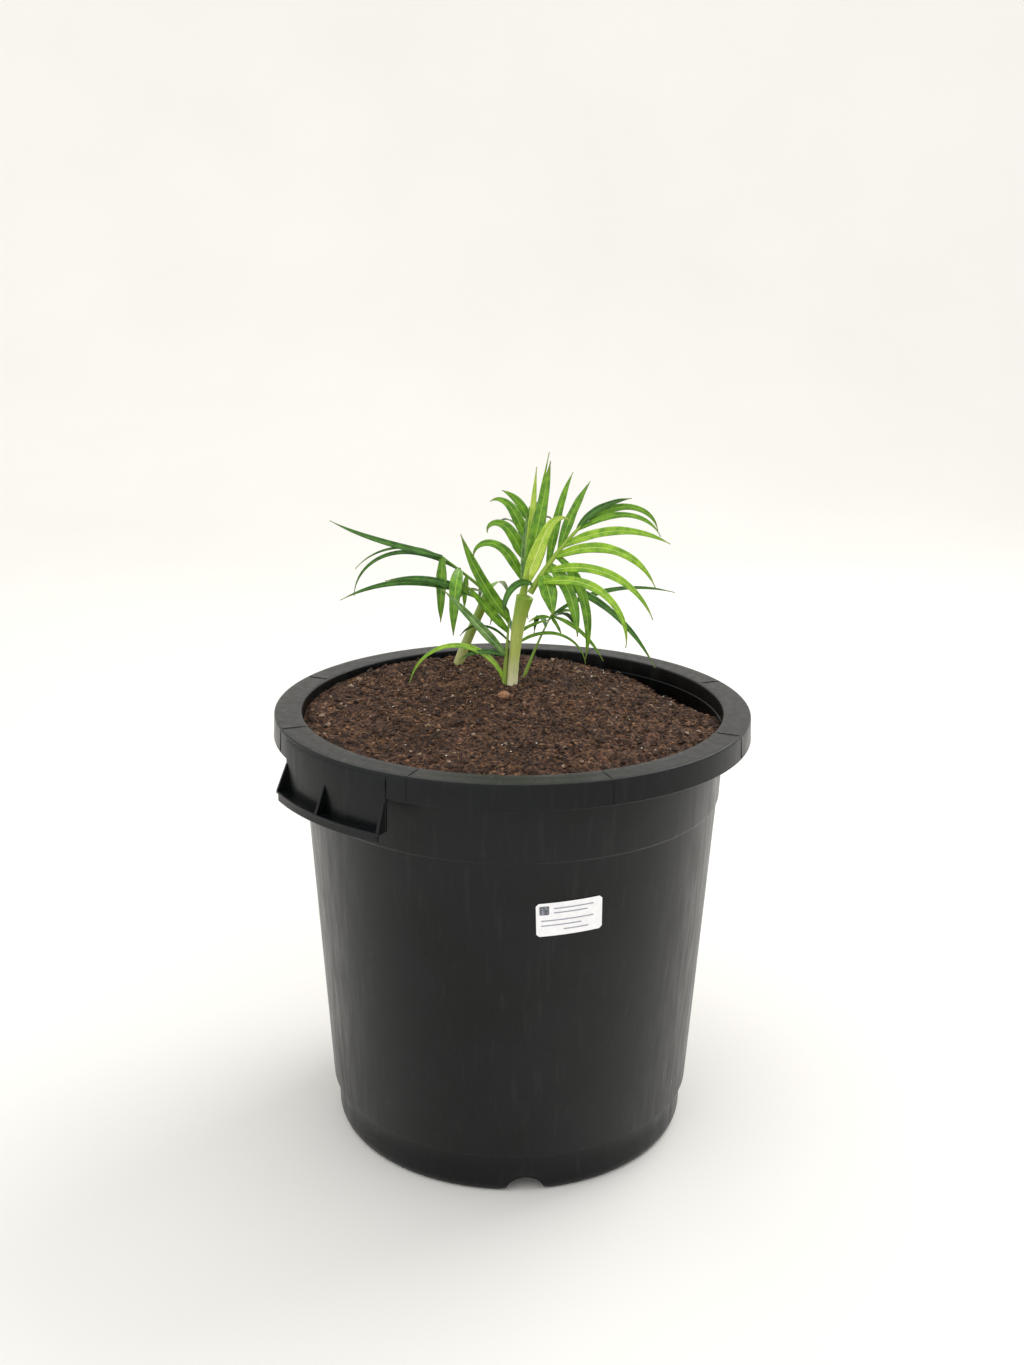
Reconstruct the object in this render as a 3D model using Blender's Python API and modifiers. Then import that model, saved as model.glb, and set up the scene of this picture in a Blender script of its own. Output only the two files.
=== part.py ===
"""Potted palm seedling: a young clumping feather palm in a large black nursery pot.

The pot is one moulding with a tapering wall, a wide flat rim, a hanging skirt and two
grips. It is filled with potting mix. A short main stem and a sucker beside it carry
fronds, whose leaflets are thin blades on a rib.

Sizes are real. Lengths are written in millimetres and turned to metres by MM. A heading
is an angle round the pot, from its front (-Y) towards its right side (+X). A bearing is
the compass way that a leaf grows: 0 is right (+X), 90 is back (+Y), 180 is left and
-90 is front.
"""

import math

import bmesh
import bpy
from mathutils import Vector, noise

MM = 0.001
GAP = 0.3 * MM
OBJECT_NAME = "potted_palm_seedling"

# Pot
POT_HEIGHT = 447 * MM
RIM_RADIUS = 240 * MM
MOUTH_RADIUS = 212.5 * MM
WALL = 3 * MM
SKIRT_DEPTH = 24 * MM
SKIRT_FLARE = 1 * MM
BAND_TOP_RADIUS = 215.2 * MM
BAND_FOOT_RADIUS = 211.6 * MM
BAND_FOOT = 361.5 * MM
WALL_TOP_RADIUS = 209.8 * MM
WALL_TOP = 359.8 * MM
WALL_FOOT_RADIUS = 189.3 * MM
WALL_FOOT = 43.2 * MM
FOOT_RADIUS = 184 * MM
FOOT_CORNER = 12 * MM
FOOT_LIP = 9 * MM
FLOOR = 22 * MM
LEDGE_DROP = 15 * MM
TURN_STEPS = 48

# Grips: a deep apron of the skirt with a lip, a hem and three gussets
GRIP_HEADINGS = (-45.5, 134.5)
APRON_HALF = 17.7
APRON_RADIUS = 241.6 * MM
APRON_THICKNESS = 3.2 * MM
LIP_DROP = 53 * MM
LIP_RADIUS = 253 * MM
LIP_THICKNESS = 2.6 * MM
HEM_DROP = 62 * MM
HEM_HALF = 16.4
GUSSET_HEIGHT = 26 * MM
GUSSET_HALF = 0.35
GUSSET_OFFSETS = (-17.2, 0.0, 17.2)
LUG_HEADINGS = (29.5, 44.5, 209.5, 224.5)
LUG_HALF = 2.4
LUG_DROP = 6 * MM

# Drain notches in the foot
NOTCH_HEADINGS = (5.1, 125.1, 245.1)
NOTCH_WIDTH = 54 * MM
NOTCH_CROWN = 32 * MM
NOTCH_HEIGHT = 17 * MM

# Label on the wall
LABEL_WIDTH = 63.5 * MM
LABEL_HEIGHT = 33.9 * MM
LABEL_CORNER = 2.5 * MM
LABEL_THICKNESS = 0.5 * MM
LABEL_HEADING = 15.2
LABEL_LEVEL = 304 * MM
LABEL_TURN = 2.3
LABEL_COLUMNS = 9

# Potting mix
SOIL_MIDDLE = 2 * MM
SOIL_EDGE = -13 * MM
HOLLOW_DEPTH = 22 * MM
HOLLOW_HEADING = 118
HOLLOW_WIDTH = 24
BANK_HEIGHT = 7 * MM
BANK_HEADING = 215
BANK_WIDTH = 42
MOUND_HEIGHT = 6 * MM
MOUND_RADIUS = 70 * MM
LUMP_HEIGHT = 3 * MM
LUMP_SIZE = 38 * MM
SOIL_RINGS = (24, 48, 74, 100, 126, 152, 176, 196)
SEAT_DEPTH = 2.5 * MM
SEAT_MARGIN = 1.2 * MM

# Stems: foot, then height, sideways lean and radius at each level above the soil
STEM_FOOT = (-0.8, 43.0)
STEM_LEVELS = ((0, 0.0, 6.8), (4, 0.0, 5.8), (28, 1.6, 5.6), (56, 4.6, 6.4), (76, 8.0, 7.2), (95, 12.6, 9.2))
SUCKER_FOOT = (-60.0, 150.0)
SUCKER_LEVELS = ((0, 0.0, 6.4), (5, 0.0, 5.8), (30, 9.0, 5.4), (58, 21.0, 5.0), (84, 32.0, 5.4))
SEED_PLACE = (-9.0, 8.0)
SEED_RADII = (6.8, 6.2, 5.6)

# Leaflets
LEAF_THICKNESS = 0.0125
LEAF_LEAST_THICKNESS = 1.2 * MM
LEAF_FOLD = 0.16
LEAF_STATIONS = 8
LEAF_TIP_WIDTH = 1.0 * MM
RIB_STATIONS = 6

parts = None
cutters = None


def polar(radius, heading, level):
    """Point at a radius and level, at a heading in degrees round the pot."""
    angle = math.radians(heading)
    return Vector((radius * math.sin(angle), -radius * math.cos(angle), level))


def toward(bearing, rise):
    """Unit vector of a way of growing, from its compass bearing and its rise."""
    flat = math.cos(math.radians(rise))
    return Vector((flat * math.cos(math.radians(bearing)),
                   flat * math.sin(math.radians(bearing)),
                   math.sin(math.radians(rise))))


def arc(centre, radius, start, end, steps):
    """Points of an arc in the radius and level plane, with both ends."""
    angles = [math.radians(start + (end - start) * i / steps) for i in range(steps + 1)]
    return [(centre[0] + radius * math.cos(a), centre[1] + radius * math.sin(a)) for a in angles]


def material(name, colour, roughness):
    """Principled material of one plain colour."""
    made = bpy.data.materials.new(name)
    made.use_nodes = True
    shader = made.node_tree.nodes["Principled BSDF"]
    shader.inputs["Base Color"].default_value = (*colour, 1)
    shader.inputs["Roughness"].default_value = roughness
    return made


def add_object(name, mesh, finish=None, home=None):
    """Put a mesh in the scene as an object of the part, or of another collection."""
    thing = bpy.data.objects.new(name, mesh)
    if finish:
        mesh.materials.clear()
        mesh.materials.append(finish)
    (home or parts).objects.link(thing)
    return thing


def mesh_from(name, shape):
    """Mesh datablock from a bmesh, with its faces turned outwards."""
    bmesh.ops.recalc_face_normals(shape, faces=shape.faces)
    mesh = bpy.data.meshes.new(name)
    shape.to_mesh(mesh)
    shape.free()
    return mesh


def turned(name, outline, finish=None, home=None):
    """Solid turned round the pot's axis from an outline that starts and ends on it."""
    mesh = bpy.data.meshes.new(name)
    points = [(radius, 0, level) for radius, level in outline]
    edges = [(i, i + 1) for i in range(len(points) - 1)]
    mesh.from_pydata(points, edges, [])
    thing = add_object(name, mesh, finish, home)
    screw = thing.modifiers.new("turn", "SCREW")
    screw.steps = TURN_STEPS
    screw.render_steps = TURN_STEPS
    screw.use_merge_vertices = True
    screw.merge_threshold = 0.00001
    return thing


def sector(name, outline, start, end, steps, home):
    """Solid swept round the pot's axis between two headings from a closed outline."""
    shape = bmesh.new()
    corners = [shape.verts.new(polar(radius, start, level)) for radius, level in outline]
    face = shape.faces.new(corners)
    bmesh.ops.spin(shape, geom=[face, *face.edges, *face.verts], cent=(0, 0, 0), axis=(0, 0, 1),
                   angle=math.radians(end - start), steps=steps, use_duplicate=False)
    return add_object(name, mesh_from(name, shape), home=home)


def loft(name, rings, home):
    """Closed solid through rings of points, with a face over each end."""
    shape = bmesh.new()
    loops = [[shape.verts.new(point) for point in ring] for ring in rings]
    for here, beyond in zip(loops, loops[1:]):
        for i in range(len(here)):
            j = (i + 1) % len(here)
            shape.faces.new((here[i], here[j], beyond[j], beyond[i]))
    shape.faces.new(loops[0])
    shape.faces.new(loops[-1])
    return add_object(name, mesh_from(name, shape), home=home)


def limb(name, path, radii, home=None, finish=None, smoothness=2):
    """Tapering tube through a path, made from a curve and turned to a mesh."""
    curve = bpy.data.curves.new(name, "CURVE")
    curve.dimensions = "3D"
    curve.bevel_depth = MM
    curve.bevel_resolution = smoothness
    curve.use_fill_caps = True
    spline = curve.splines.new("POLY")
    spline.points.add(len(path) - 1)
    for point, place, radius in zip(spline.points, path, radii):
        point.co = (*place, 1)
        point.radius = radius / MM
    drawn = bpy.data.objects.new(name + "_curve", curve)
    bpy.context.scene.collection.objects.link(drawn)
    depsgraph = bpy.context.evaluated_depsgraph_get()
    mesh = bpy.data.meshes.new_from_object(drawn.evaluated_get(depsgraph))
    bpy.data.objects.remove(drawn)
    shape = bmesh.new()
    shape.from_mesh(mesh)
    bmesh.ops.remove_doubles(shape, verts=shape.verts, dist=0.00001)
    bpy.data.meshes.remove(mesh)
    return add_object(name, mesh_from(name, shape), finish, home)


def apply_modifiers(thing):
    """Replace an object's mesh with the mesh that its modifiers give."""
    depsgraph = bpy.context.evaluated_depsgraph_get()
    mesh = bpy.data.meshes.new_from_object(thing.evaluated_get(depsgraph))
    thing.modifiers.clear()
    thing.data = mesh


def fuse(body, pieces):
    """Join a collection of pieces to a body and take the pieces away."""
    union = body.modifiers.new("fuse", "BOOLEAN")
    union.operation = "UNION"
    union.solver = "MANIFOLD"
    union.operand_type = "COLLECTION"
    union.collection = pieces
    apply_modifiers(body)
    for piece in list(pieces.objects):
        bpy.data.objects.remove(piece)
    bpy.data.collections.remove(pieces)


def cut(body, cutter):
    """Take a cutter's space out of a body."""
    cutter.hide_render = True
    cutter.display_type = "WIRE"
    difference = body.modifiers.new("cut", "BOOLEAN")
    difference.operation = "DIFFERENCE"
    difference.object = cutter


def collection(name):
    made = bpy.data.collections.new(name)
    bpy.context.scene.collection.children.link(made)
    return made


def wall_radius(level):
    """Outer radius of the pot's wall or band at a level."""
    if level > BAND_FOOT:
        low, high = (BAND_FOOT, BAND_FOOT_RADIUS), (POT_HEIGHT - WALL, BAND_TOP_RADIUS)
    else:
        low, high = (WALL_FOOT, WALL_FOOT_RADIUS), (WALL_TOP, WALL_TOP_RADIUS)
    share = (level - low[0]) / (high[0] - low[0])
    return low[1] + share * (high[1] - low[1])


def inner_radius(level):
    """Radius of the space inside the pot at a level."""
    if level > POT_HEIGHT - LEDGE_DROP + WALL:
        return MOUTH_RADIUS - 0.5 * MM
    if level < WALL_FOOT + 2 * WALL:
        return FOOT_RADIUS - WALL
    return wall_radius(level) - WALL


def pot_outline():
    """Outline from the floor's middle up the inside, over the rim and down to the floor."""
    top = POT_HEIGHT
    ledge = top - LEDGE_DROP
    skirt_foot = top - SKIRT_DEPTH
    skirt_radius = RIM_RADIUS + SKIRT_FLARE
    edge = 2 * MM
    inside = [(0, FLOOR + WALL), (FOOT_RADIUS - 2 * WALL, FLOOR + WALL)]
    inside += [(FOOT_RADIUS - WALL, FLOOR + 2 * WALL), (FOOT_RADIUS - WALL, WALL_FOOT)]
    inside += [(wall_radius(WALL_FOOT + 2 * WALL) - WALL, WALL_FOOT + 2 * WALL)]
    inside += [(WALL_TOP_RADIUS - WALL, WALL_TOP), (BAND_FOOT_RADIUS - WALL, BAND_FOOT + WALL)]
    inside += [(wall_radius(ledge) - WALL, ledge - MM), (MOUTH_RADIUS - 0.5 * MM, ledge)]
    rim = [(MOUTH_RADIUS, top - MM), (MOUTH_RADIUS + MM, top)]
    rim += arc((RIM_RADIUS - edge, top - edge), edge, 90, 0, 3)
    rim += [(skirt_radius, skirt_foot), (skirt_radius - WALL, skirt_foot)]
    rim += [(RIM_RADIUS - WALL, top - WALL), (BAND_TOP_RADIUS, top - WALL)]
    outside = [(BAND_FOOT_RADIUS, BAND_FOOT), (WALL_TOP_RADIUS, WALL_TOP)]
    outside += [(WALL_FOOT_RADIUS, WALL_FOOT), (FOOT_RADIUS + 0.5 * MM, WALL_FOOT - MM)]
    outside += [(FOOT_RADIUS, 2 * FOOT_CORNER)]
    corner_width = 7 * MM
    bend = arc((0, 0), 1, 0, -90, 4)
    outside += [(FOOT_RADIUS - corner_width * (1 - x), FOOT_CORNER * (1 + y)) for x, y in bend]
    inner_ring = FOOT_RADIUS - corner_width - FOOT_LIP
    under = [(inner_ring, 0), (inner_ring, WALL), (FOOT_RADIUS - 3 * WALL, 1.2 * WALL)]
    under += [(FOOT_RADIUS - WALL, FOOT_CORNER + MM), (FOOT_RADIUS - WALL, FLOOR), (0, FLOOR)]
    return inside + rim + outside + under


def grip_pieces(heading, home):
    """Apron, lip, hem and gussets of one grip, as pieces to be fused to the pot."""
    top = POT_HEIGHT
    lip_top = top - LIP_DROP
    lip_foot = lip_top - LIP_THICKNESS
    apron_inside = APRON_RADIUS - APRON_THICKNESS
    apron = [(apron_inside, top - 6 * MM), (APRON_RADIUS, top - 6 * MM),
             (APRON_RADIUS, lip_foot), (apron_inside, lip_foot)]
    sector("apron", apron, heading - APRON_HALF, heading + APRON_HALF, 5, home)
    lip = [(apron_inside + MM, lip_top), (LIP_RADIUS, lip_top),
           (LIP_RADIUS, lip_foot), (apron_inside + MM, lip_foot)]
    sector("lip", lip, heading - APRON_HALF + 0.2, heading + APRON_HALF - 0.2, 5, home)
    hem = [(LIP_RADIUS - WALL, lip_top - MM), (LIP_RADIUS - 0.2 * MM, lip_top - MM),
           (LIP_RADIUS - 0.2 * MM, top - HEM_DROP), (LIP_RADIUS - WALL, top - HEM_DROP)]
    sector("hem", hem, heading - HEM_HALF, heading + APRON_HALF - 0.4, 5, home)
    gusset = [(APRON_RADIUS - MM, lip_top + GUSSET_HEIGHT), (LIP_RADIUS - 0.5 * MM, lip_top + MM),
              (LIP_RADIUS - 0.5 * MM, lip_top - MM), (APRON_RADIUS - MM, lip_top - MM)]
    for offset in GUSSET_OFFSETS:
        middle = heading + offset
        sector("gusset", gusset, middle - GUSSET_HALF, middle + GUSSET_HALF, 1, home)


def lug_piece(heading, home):
    """Small stacking lug under the rim, between the band and the skirt."""
    foot = POT_HEIGHT - SKIRT_DEPTH - LUG_DROP
    high = POT_HEIGHT - SKIRT_DEPTH + 4 * MM
    inside = wall_radius(foot) - MM
    outline = [(inside, high), (inside + 12 * MM, high), (inside + 8 * MM, foot), (inside, foot)]
    sector("lug", outline, heading - LUG_HALF, heading + LUG_HALF, 1, home)


def notch_cutter(heading):
    """Arched cutter that goes through the foot, with sides that splay to the ground."""
    half = NOTCH_WIDTH / 2
    crown = NOTCH_CROWN / 2
    side = [(half, -2 * MM), (half - 2 * MM, 2 * MM)]
    bend = arc((0, 0), 1, 10, 90, 5)
    crown_arc = [(crown * x + 0.12 * half * x, NOTCH_HEIGHT * y) for x, y in bend]
    right = side + crown_arc
    outline = right + [(-x, z) for x, z in reversed(right[:-1])]
    near = FOOT_RADIUS - 24 * MM
    far = FOOT_RADIUS + 8 * MM
    out = polar(1, heading, 0)
    across = polar(1, heading + 90, 0)
    rings = [[out * depth + across * x + Vector((0, 0, z)) for x, z in outline]
             for depth in (near, far)]
    return loft(f"notch_{heading:.0f}", rings, cutters)


def build_pot(finish):
    """The moulded pot with its two grips, its lugs and its drain notches."""
    pot = turned("pot", pot_outline(), finish)
    apply_modifiers(pot)
    pieces = collection("pot_pieces")
    for heading in GRIP_HEADINGS:
        grip_pieces(heading, pieces)
    for heading in LUG_HEADINGS:
        lug_piece(heading, pieces)
    fuse(pot, pieces)
    for heading in NOTCH_HEADINGS:
        cut(pot, notch_cutter(heading))
    return pot


def build_label(finish):
    """Label wrapped round the wall, a little turned, with clipped corners."""
    half_width, half_height = LABEL_WIDTH / 2, LABEL_HEIGHT / 2
    turn = math.radians(LABEL_TURN)
    rings = []
    for i in range(LABEL_COLUMNS + 1):
        across = -half_width + LABEL_WIDTH * i / LABEL_COLUMNS
        half = half_height - (LABEL_CORNER if i in (0, LABEL_COLUMNS) else 0)
        ring = []
        for up, proud in ((half, 1), (-half, 1), (-half, 0), (half, 0)):
            turned_across = across * math.cos(turn) - up * math.sin(turn)
            level = LABEL_LEVEL + across * math.sin(turn) + up * math.cos(turn)
            radius = wall_radius(level) + 1.3 * GAP + proud * LABEL_THICKNESS
            heading = LABEL_HEADING + math.degrees(turned_across / wall_radius(LABEL_LEVEL))
            ring.append(polar(radius, heading, level))
        rings.append(ring)
    label = loft("label", rings, parts)
    label.data.materials.append(finish)
    return label


def swell(heading, middle, width):
    """Smooth hump round a heading, one at its middle."""
    off = (heading - middle + 180) % 360 - 180
    return math.exp(-((off / width) ** 2))


def soil_top(x, y):
    """Height of the potting mix at a place inside the pot."""
    reach = min(math.hypot(x, y) / MOUTH_RADIUS, 1)
    heading = math.degrees(math.atan2(x, -y))
    edge = SOIL_EDGE - HOLLOW_DEPTH * swell(heading, HOLLOW_HEADING, HOLLOW_WIDTH)
    edge += BANK_HEIGHT * swell(heading, BANK_HEADING, BANK_WIDTH)
    off_stem = math.hypot(x - STEM_FOOT[0] * MM, y - STEM_FOOT[1] * MM)
    mound = MOUND_HEIGHT * math.exp(-((off_stem / MOUND_RADIUS) ** 2))
    lumps = LUMP_HEIGHT * noise.noise(Vector((x, y, 0)) / LUMP_SIZE)
    return POT_HEIGHT + SOIL_MIDDLE + (edge - SOIL_MIDDLE) * reach ** 3 + mound + lumps


def seat_level(place):
    """Level of the flat ground that a stem with its foot at a place stands on."""
    return soil_top(place[0] * MM, place[1] * MM) - SEAT_DEPTH


def build_soil(finish):
    """Potting mix: a turned plug whose top ring and surface are then raised to its relief."""
    mark = POT_HEIGHT
    outline = [(0, mark)] + [(ring * MM, mark) for ring in SOIL_RINGS]
    outline += [(inner_radius(mark), mark), (inner_radius(BAND_FOOT + 2 * WALL), mark - 40 * MM)]
    sides = (BAND_FOOT + WALL, WALL_TOP, WALL_FOOT + 2 * WALL, WALL_FOOT)
    outline += [(inner_radius(level) - 2 * GAP, level) for level in sides]
    floor = FLOOR + WALL + GAP
    outline += [(FOOT_RADIUS - 2 * WALL - GAP, floor), (0, floor)]
    soil = turned("soil", outline, finish)
    apply_modifiers(soil)
    for vertex in soil.data.vertices:
        point = vertex.co
        if point.z < mark - 41 * MM:
            continue
        flat = Vector((point.x, point.y, 0))
        top = soil_top(*(flat.normalized() * MOUTH_RADIUS).xy) if flat.length > 0.2 else 0
        if point.z > mark - MM and flat.length < 0.2:
            point.z = soil_top(point.x, point.y)
            continue
        if point.z < mark - MM:
            top = min(top - 3 * MM, POT_HEIGHT - LEDGE_DROP - 1.5 * MM)
        side = flat.normalized() * (inner_radius(top) - 1.5 * GAP)
        vertex.co = (side.x, side.y, top)
    for name, place, radius in SEATS:
        level = seat_level(place)
        bpy.ops.mesh.primitive_cylinder_add(vertices=16, radius=(radius * MM + SEAT_MARGIN),
                                            depth=40 * MM,
                                            location=(place[0] * MM, place[1] * MM, level + 20 * MM))
        cutter = bpy.context.object
        cutter.name = f"seat_{name}"
        for home in list(cutter.users_collection):
            home.objects.unlink(cutter)
        cutters.objects.link(cutter)
        cut(soil, cutter)
    return soil


def stem_path(foot, levels):
    """Points and radii of a stem that stands on its seat."""
    ground = seat_level(foot) + GAP
    path = [Vector((foot[0] * MM + lean * MM, foot[1] * MM, ground + up * MM)) for up, lean, _ in levels]
    return path, [radius * MM for _, _, radius in levels]


def build_stem(name, foot, levels, finish):
    """Stem with its flare and taper, and a wider copy that clears the fronds from it."""
    path, radii = stem_path(foot, levels)
    stem = limb(name, path, radii, finish=finish)
    clear = limb(name + "_clearance", path, [radius + GAP for radius in radii], home=cutters)
    clear.hide_render = True
    clear.display_type = "WIRE"
    return stem, clear


def build_seed(finish):
    """Husk of the seed that the palm came from, half out of the potting mix."""
    level = seat_level(SEED_PLACE) + GAP
    bpy.ops.mesh.primitive_uv_sphere_add(segments=12, ring_count=8, radius=1)
    seed = bpy.context.object
    seed.name = "seed"
    for home in list(seed.users_collection):
        home.objects.unlink(seed)
    parts.objects.link(seed)
    shape = bmesh.new()
    shape.from_mesh(seed.data)
    for vertex in shape.verts:
        vertex.co = Vector([axis * radius * MM for axis, radius in zip(vertex.co, SEED_RADII)])
    bmesh.ops.bisect_plane(shape, geom=[*shape.verts, *shape.edges, *shape.faces],
                           plane_co=(0, 0, -1.5 * MM), plane_no=(0, 0, -1), clear_outer=True)
    bmesh.ops.holes_fill(shape, edges=[edge for edge in shape.edges if edge.is_boundary])
    bmesh.ops.translate(shape, verts=shape.verts,
                        vec=(SEED_PLACE[0] * MM, SEED_PLACE[1] * MM, level + 1.5 * MM))
    bmesh.ops.recalc_face_normals(shape, faces=shape.faces)
    shape.to_mesh(seed.data)
    shape.free()
    seed.data.materials.append(finish)


def grow(root, length, bearing, rise, droop, bend, stations):
    """Path of a rib or leaflet: it leaves its root at its rise and turns down by its droop."""
    points = [root.copy()]
    for i in range(stations):
        share = (i + 0.5) / stations
        way = toward(bearing, rise - droop * share ** bend)
        point = points[-1] + way * (length / stations)
        if point.xy.length < MOUTH_RADIUS:
            point.z = max(point.z, soil_top(point.x, point.y) + 3 * MM)
        points.append(point)
    return points


def leaf_width(share, width):
    """Width of a leaflet along its length: narrow at its root, drawn out to its tip."""
    return max(width * min(1, 0.4 + 2.4 * share) * (1 - share ** 3), LEAF_TIP_WIDTH)


def leaflet(name, root, sizes, home, swelling=0):
    """One leaflet: a thin folded blade along its path, swollen where it is a clearance."""
    length, bearing, rise, droop, bend, width, facing = sizes
    stations = LEAF_STATIONS if length > 70 else LEAF_STATIONS - 2
    path = grow(root, length * MM, bearing, rise, droop, bend, stations)
    look = toward(-90, 90 - facing) if facing >= 0 else toward(90, 90 + facing)
    thick = max(LEAF_THICKNESS * length * MM, LEAF_LEAST_THICKNESS) / 2 + 1.5 * swelling
    rings = []
    for i, point in enumerate(path):
        along = (path[min(i + 1, stations)] - path[max(i - 1, 0)]).normalized()
        over = (look - along * look.dot(along)).normalized()
        across = along.cross(over)
        share = i / stations
        half = leaf_width(share, width * MM) / 2 + 2 * swelling
        body = thick * (1 - 0.5 * share ** 3)
        edge = over * (LEAF_FOLD * half * 2)
        rings.append([point + across * half + edge, point + over * body,
                      point - across * half + edge, point - over * body])
    return loft(name, rings, home)


def rib_path(rib):
    """Path of a frond's rib. A rib whose root has no level stands on its seat in the mix."""
    root, length, bearing, rise, droop, radius = rib
    if len(root) == 2:
        foot = seat_level(root) + GAP + radius * MM * math.cos(math.radians(rise))
        root = (*root, foot / MM)
    return grow(Vector(root) * MM, length * MM, bearing, rise, droop, 1, RIB_STATIONS)


def frond_pieces(name, rib, leaflets, home, swelling=0):
    """Tapering rib of a frond, and its leaflets as pieces of a collection."""
    path = rib_path(rib)
    radii = [rib[-1] * MM * (1 - 0.7 * i / RIB_STATIONS) + swelling for i in range(RIB_STATIONS + 1)]
    for i, (share, *sizes) in enumerate(leaflets):
        step = share * RIB_STATIONS
        low = min(int(step), RIB_STATIONS - 1)
        place = path[low].lerp(path[low + 1], step - low)
        leaflet(f"{name}_{i}", place, sizes, home, swelling)
    return path, radii


def build_frond(name, rib, leaflets, clears, taken, finish):
    """Frond fused from its rib and leaflets, cut clear of its stem and of earlier fronds."""
    pieces = collection(name + "_leaflets")
    path, radii = frond_pieces(name, rib, leaflets, pieces)
    frond = limb(name, path, radii, finish=finish, smoothness=1)
    fuse(frond, pieces)
    for clear in clears:
        cut(frond, clear)
    if taken.objects:
        difference = frond.modifiers.new("clear_fronds", "BOOLEAN")
        difference.operation = "DIFFERENCE"
        difference.solver = "MANIFOLD"
        difference.operand_type = "COLLECTION"
        difference.collection = taken
    apply_modifiers(frond)
    path, radii = frond_pieces(name + "_clearance", rib, leaflets, taken, GAP)
    limb(name + "_clearance_rib", path, radii, home=taken, smoothness=1)
    return frond


# Each rib: root, length, bearing, rise, droop, root radius. A root with no level is in the mix.
# Each leaflet: share along the rib, length, bearing, rise, droop, bend, width, facing
SPEAR_RIB = ((9, 44, 547), 44, 0, 80, 0, 4.4)
SPEAR_LEAFLETS = (
    (0.50, 121, 5, 77, -4, 1.0, 15, 80),
    (0.70, 120, 45, 78, 4, 1.0, 5, 80),
    (0.60, 108, 50, 83, 0, 1.0, 8, 80),
    (0.30, 92, -12, 70, 124, 7.0, 16, 78),
    (0.20, 78, 80, 86, 10, 1.0, 9, 70),
)

RIGHT_RIB = ((17, 41, 553), 115, 5, 61, 20, 3.4)
RIGHT_LEAFLETS = (
    (0.70, 66, -6, 66, 58, 0.7, 8, 60),
    (0.82, 86, -5, 30, 112, 1.9, 8, 62),
    (0.70, 96, -12, 30, 95, 1.9, 7, 62),
    (0.50, 118, -20, 30, 56, 1.3, 10, 64),
    (0.38, 126, -25, 26, 92, 1.5, 11, 66),
    (0.22, 142, -30, 18, 84, 1.5, 10, 66),
    (0.10, 150, -40, 16, 116, 1.9, 10, 66),
    (0.29, 104, 60, 70, 30, 2.0, 10, 30),
    (0.46, 80, 45, 68, 24, 1.0, 11, 30),
    (0.06, 60, 215, 54, 160, 0.8, 9, 40),
    (0.20, 46, -62, -25, 50, 0.5, 19, 70),
    (0.30, 84, -42, -12, 76, 0.6, 14, 70),
    (0.40, 118, -30, -10, 90, 0.5, 11, 70),
    (0.14, 156, -14, 0, 62, 0.8, 8, 55),
)

UPPER_LEFT_RIB = ((10, 54, 547), 92, 75, 82, 12, 2.8)
UPPER_LEFT_LEAFLETS = (
    (0.84, 43, 180, 70, 50, 1.3, 10, 60),
    (0.63, 62, 184, 66, 110, 4.0, 12, 60),
    (0.40, 68, 194, 64, 175, 4.0, 13, 60),
    (0.16, 84, 195, 62, 170, 3.0, 11, 60),
    (0.70, 56, 60, 30, 60, 1.5, 11, -30),
    (0.65, 80, 75, 50, 80, 1.5, 11, -40),
    (0.40, 84, 95, 45, 90, 1.5, 11, -40),
    (0.60, 66, 120, 40, 80, 1.5, 11, -30),
)

LEFT_RIB = ((-9.5, 41), 74, 0, 86, 0, 2.6)
LEFT_LEAFLETS = (
    (0.96, 106, 196, 52, -18, 1.0, 13, 66),
    (0.98, 32, 180, 62, 0, 1.0, 8, 66),
    (0.80, 70, 200, 48, -2, 1.0, 10, 60),
    (0.46, 104, 206, 47, 0, 1.0, 11, 50),
    (0.06, 144, 168, 78, 160, 0.9, 7, 40),
    (0.44, 52, 172, 22, 58, 1.0, 7, 40),
)

RIGHT_LOW_RIB = ((11, 71), 76, 17, 70, 8, 2.0)
RIGHT_LOW_LEAFLETS = (
    (0.96, 140, 8, 38, 54, 0.9, 6, 50),
    (0.96, 76, -6, -2, 60, 0.6, 5, 60),
    (0.96, 24, 0, -50, 20, 1.0, 4, 60),
    (0.98, 28, 10, 34, 60, 1.0, 4, 60),
    (0.94, 24, 175, 16, 60, 1.0, 4, 60),
    (0.90, 80, 60, 12, 80, 1.2, 8, -40),
    (0.80, 76, 100, 20, 90, 1.2, 8, -40),
)

BACK_RIB = ((-4, 60), 50, 60, 80, 10, 2.2)
BACK_LEAFLETS = (
    (0.70, 98, 4, 42, 124, 1.2, 4, 60),
    (0.96, 40, 8, 38, 30, 1.0, 4, 60),
    (0.95, 92, 80, 42, 96, 1.2, 9, -40),
    (0.85, 100, 108, 42, 100, 1.2, 9, -40),
    (0.70, 84, 140, 40, 90, 1.2, 9, -40),
)

SUCKER_RIB = ((-29, 150, 528), 64, 182, 40, 2, 2.4)
SUCKER_LEAFLETS = (
    (0.98, 128, 182, 13, -16, 2.2, 8, 50),
    (0.60, 146, 180, 30, 118, 1.6, 6, 50),
    (0.90, 112, 170, 26, 76, 1.2, 4, 50),
    (0.98, 72, 260, -70, 18, 0.5, 12, 76),
    (0.60, 84, 262, 60, 150, 0.3, 14, 76),
    (0.45, 36, 250, -50, 40, 0.4, 7, 70),
)

SUCKER_LOW_RIB = ((-33, 147, 518), 26, 186, 30, 0, 2.0)
SUCKER_LOW_LEAFLETS = (
    (0.50, 150, 186, 26, 54, 1.0, 9, 50),
    (0.60, 98, 190, 32, 42, 1.0, 9, 50),
)

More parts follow.
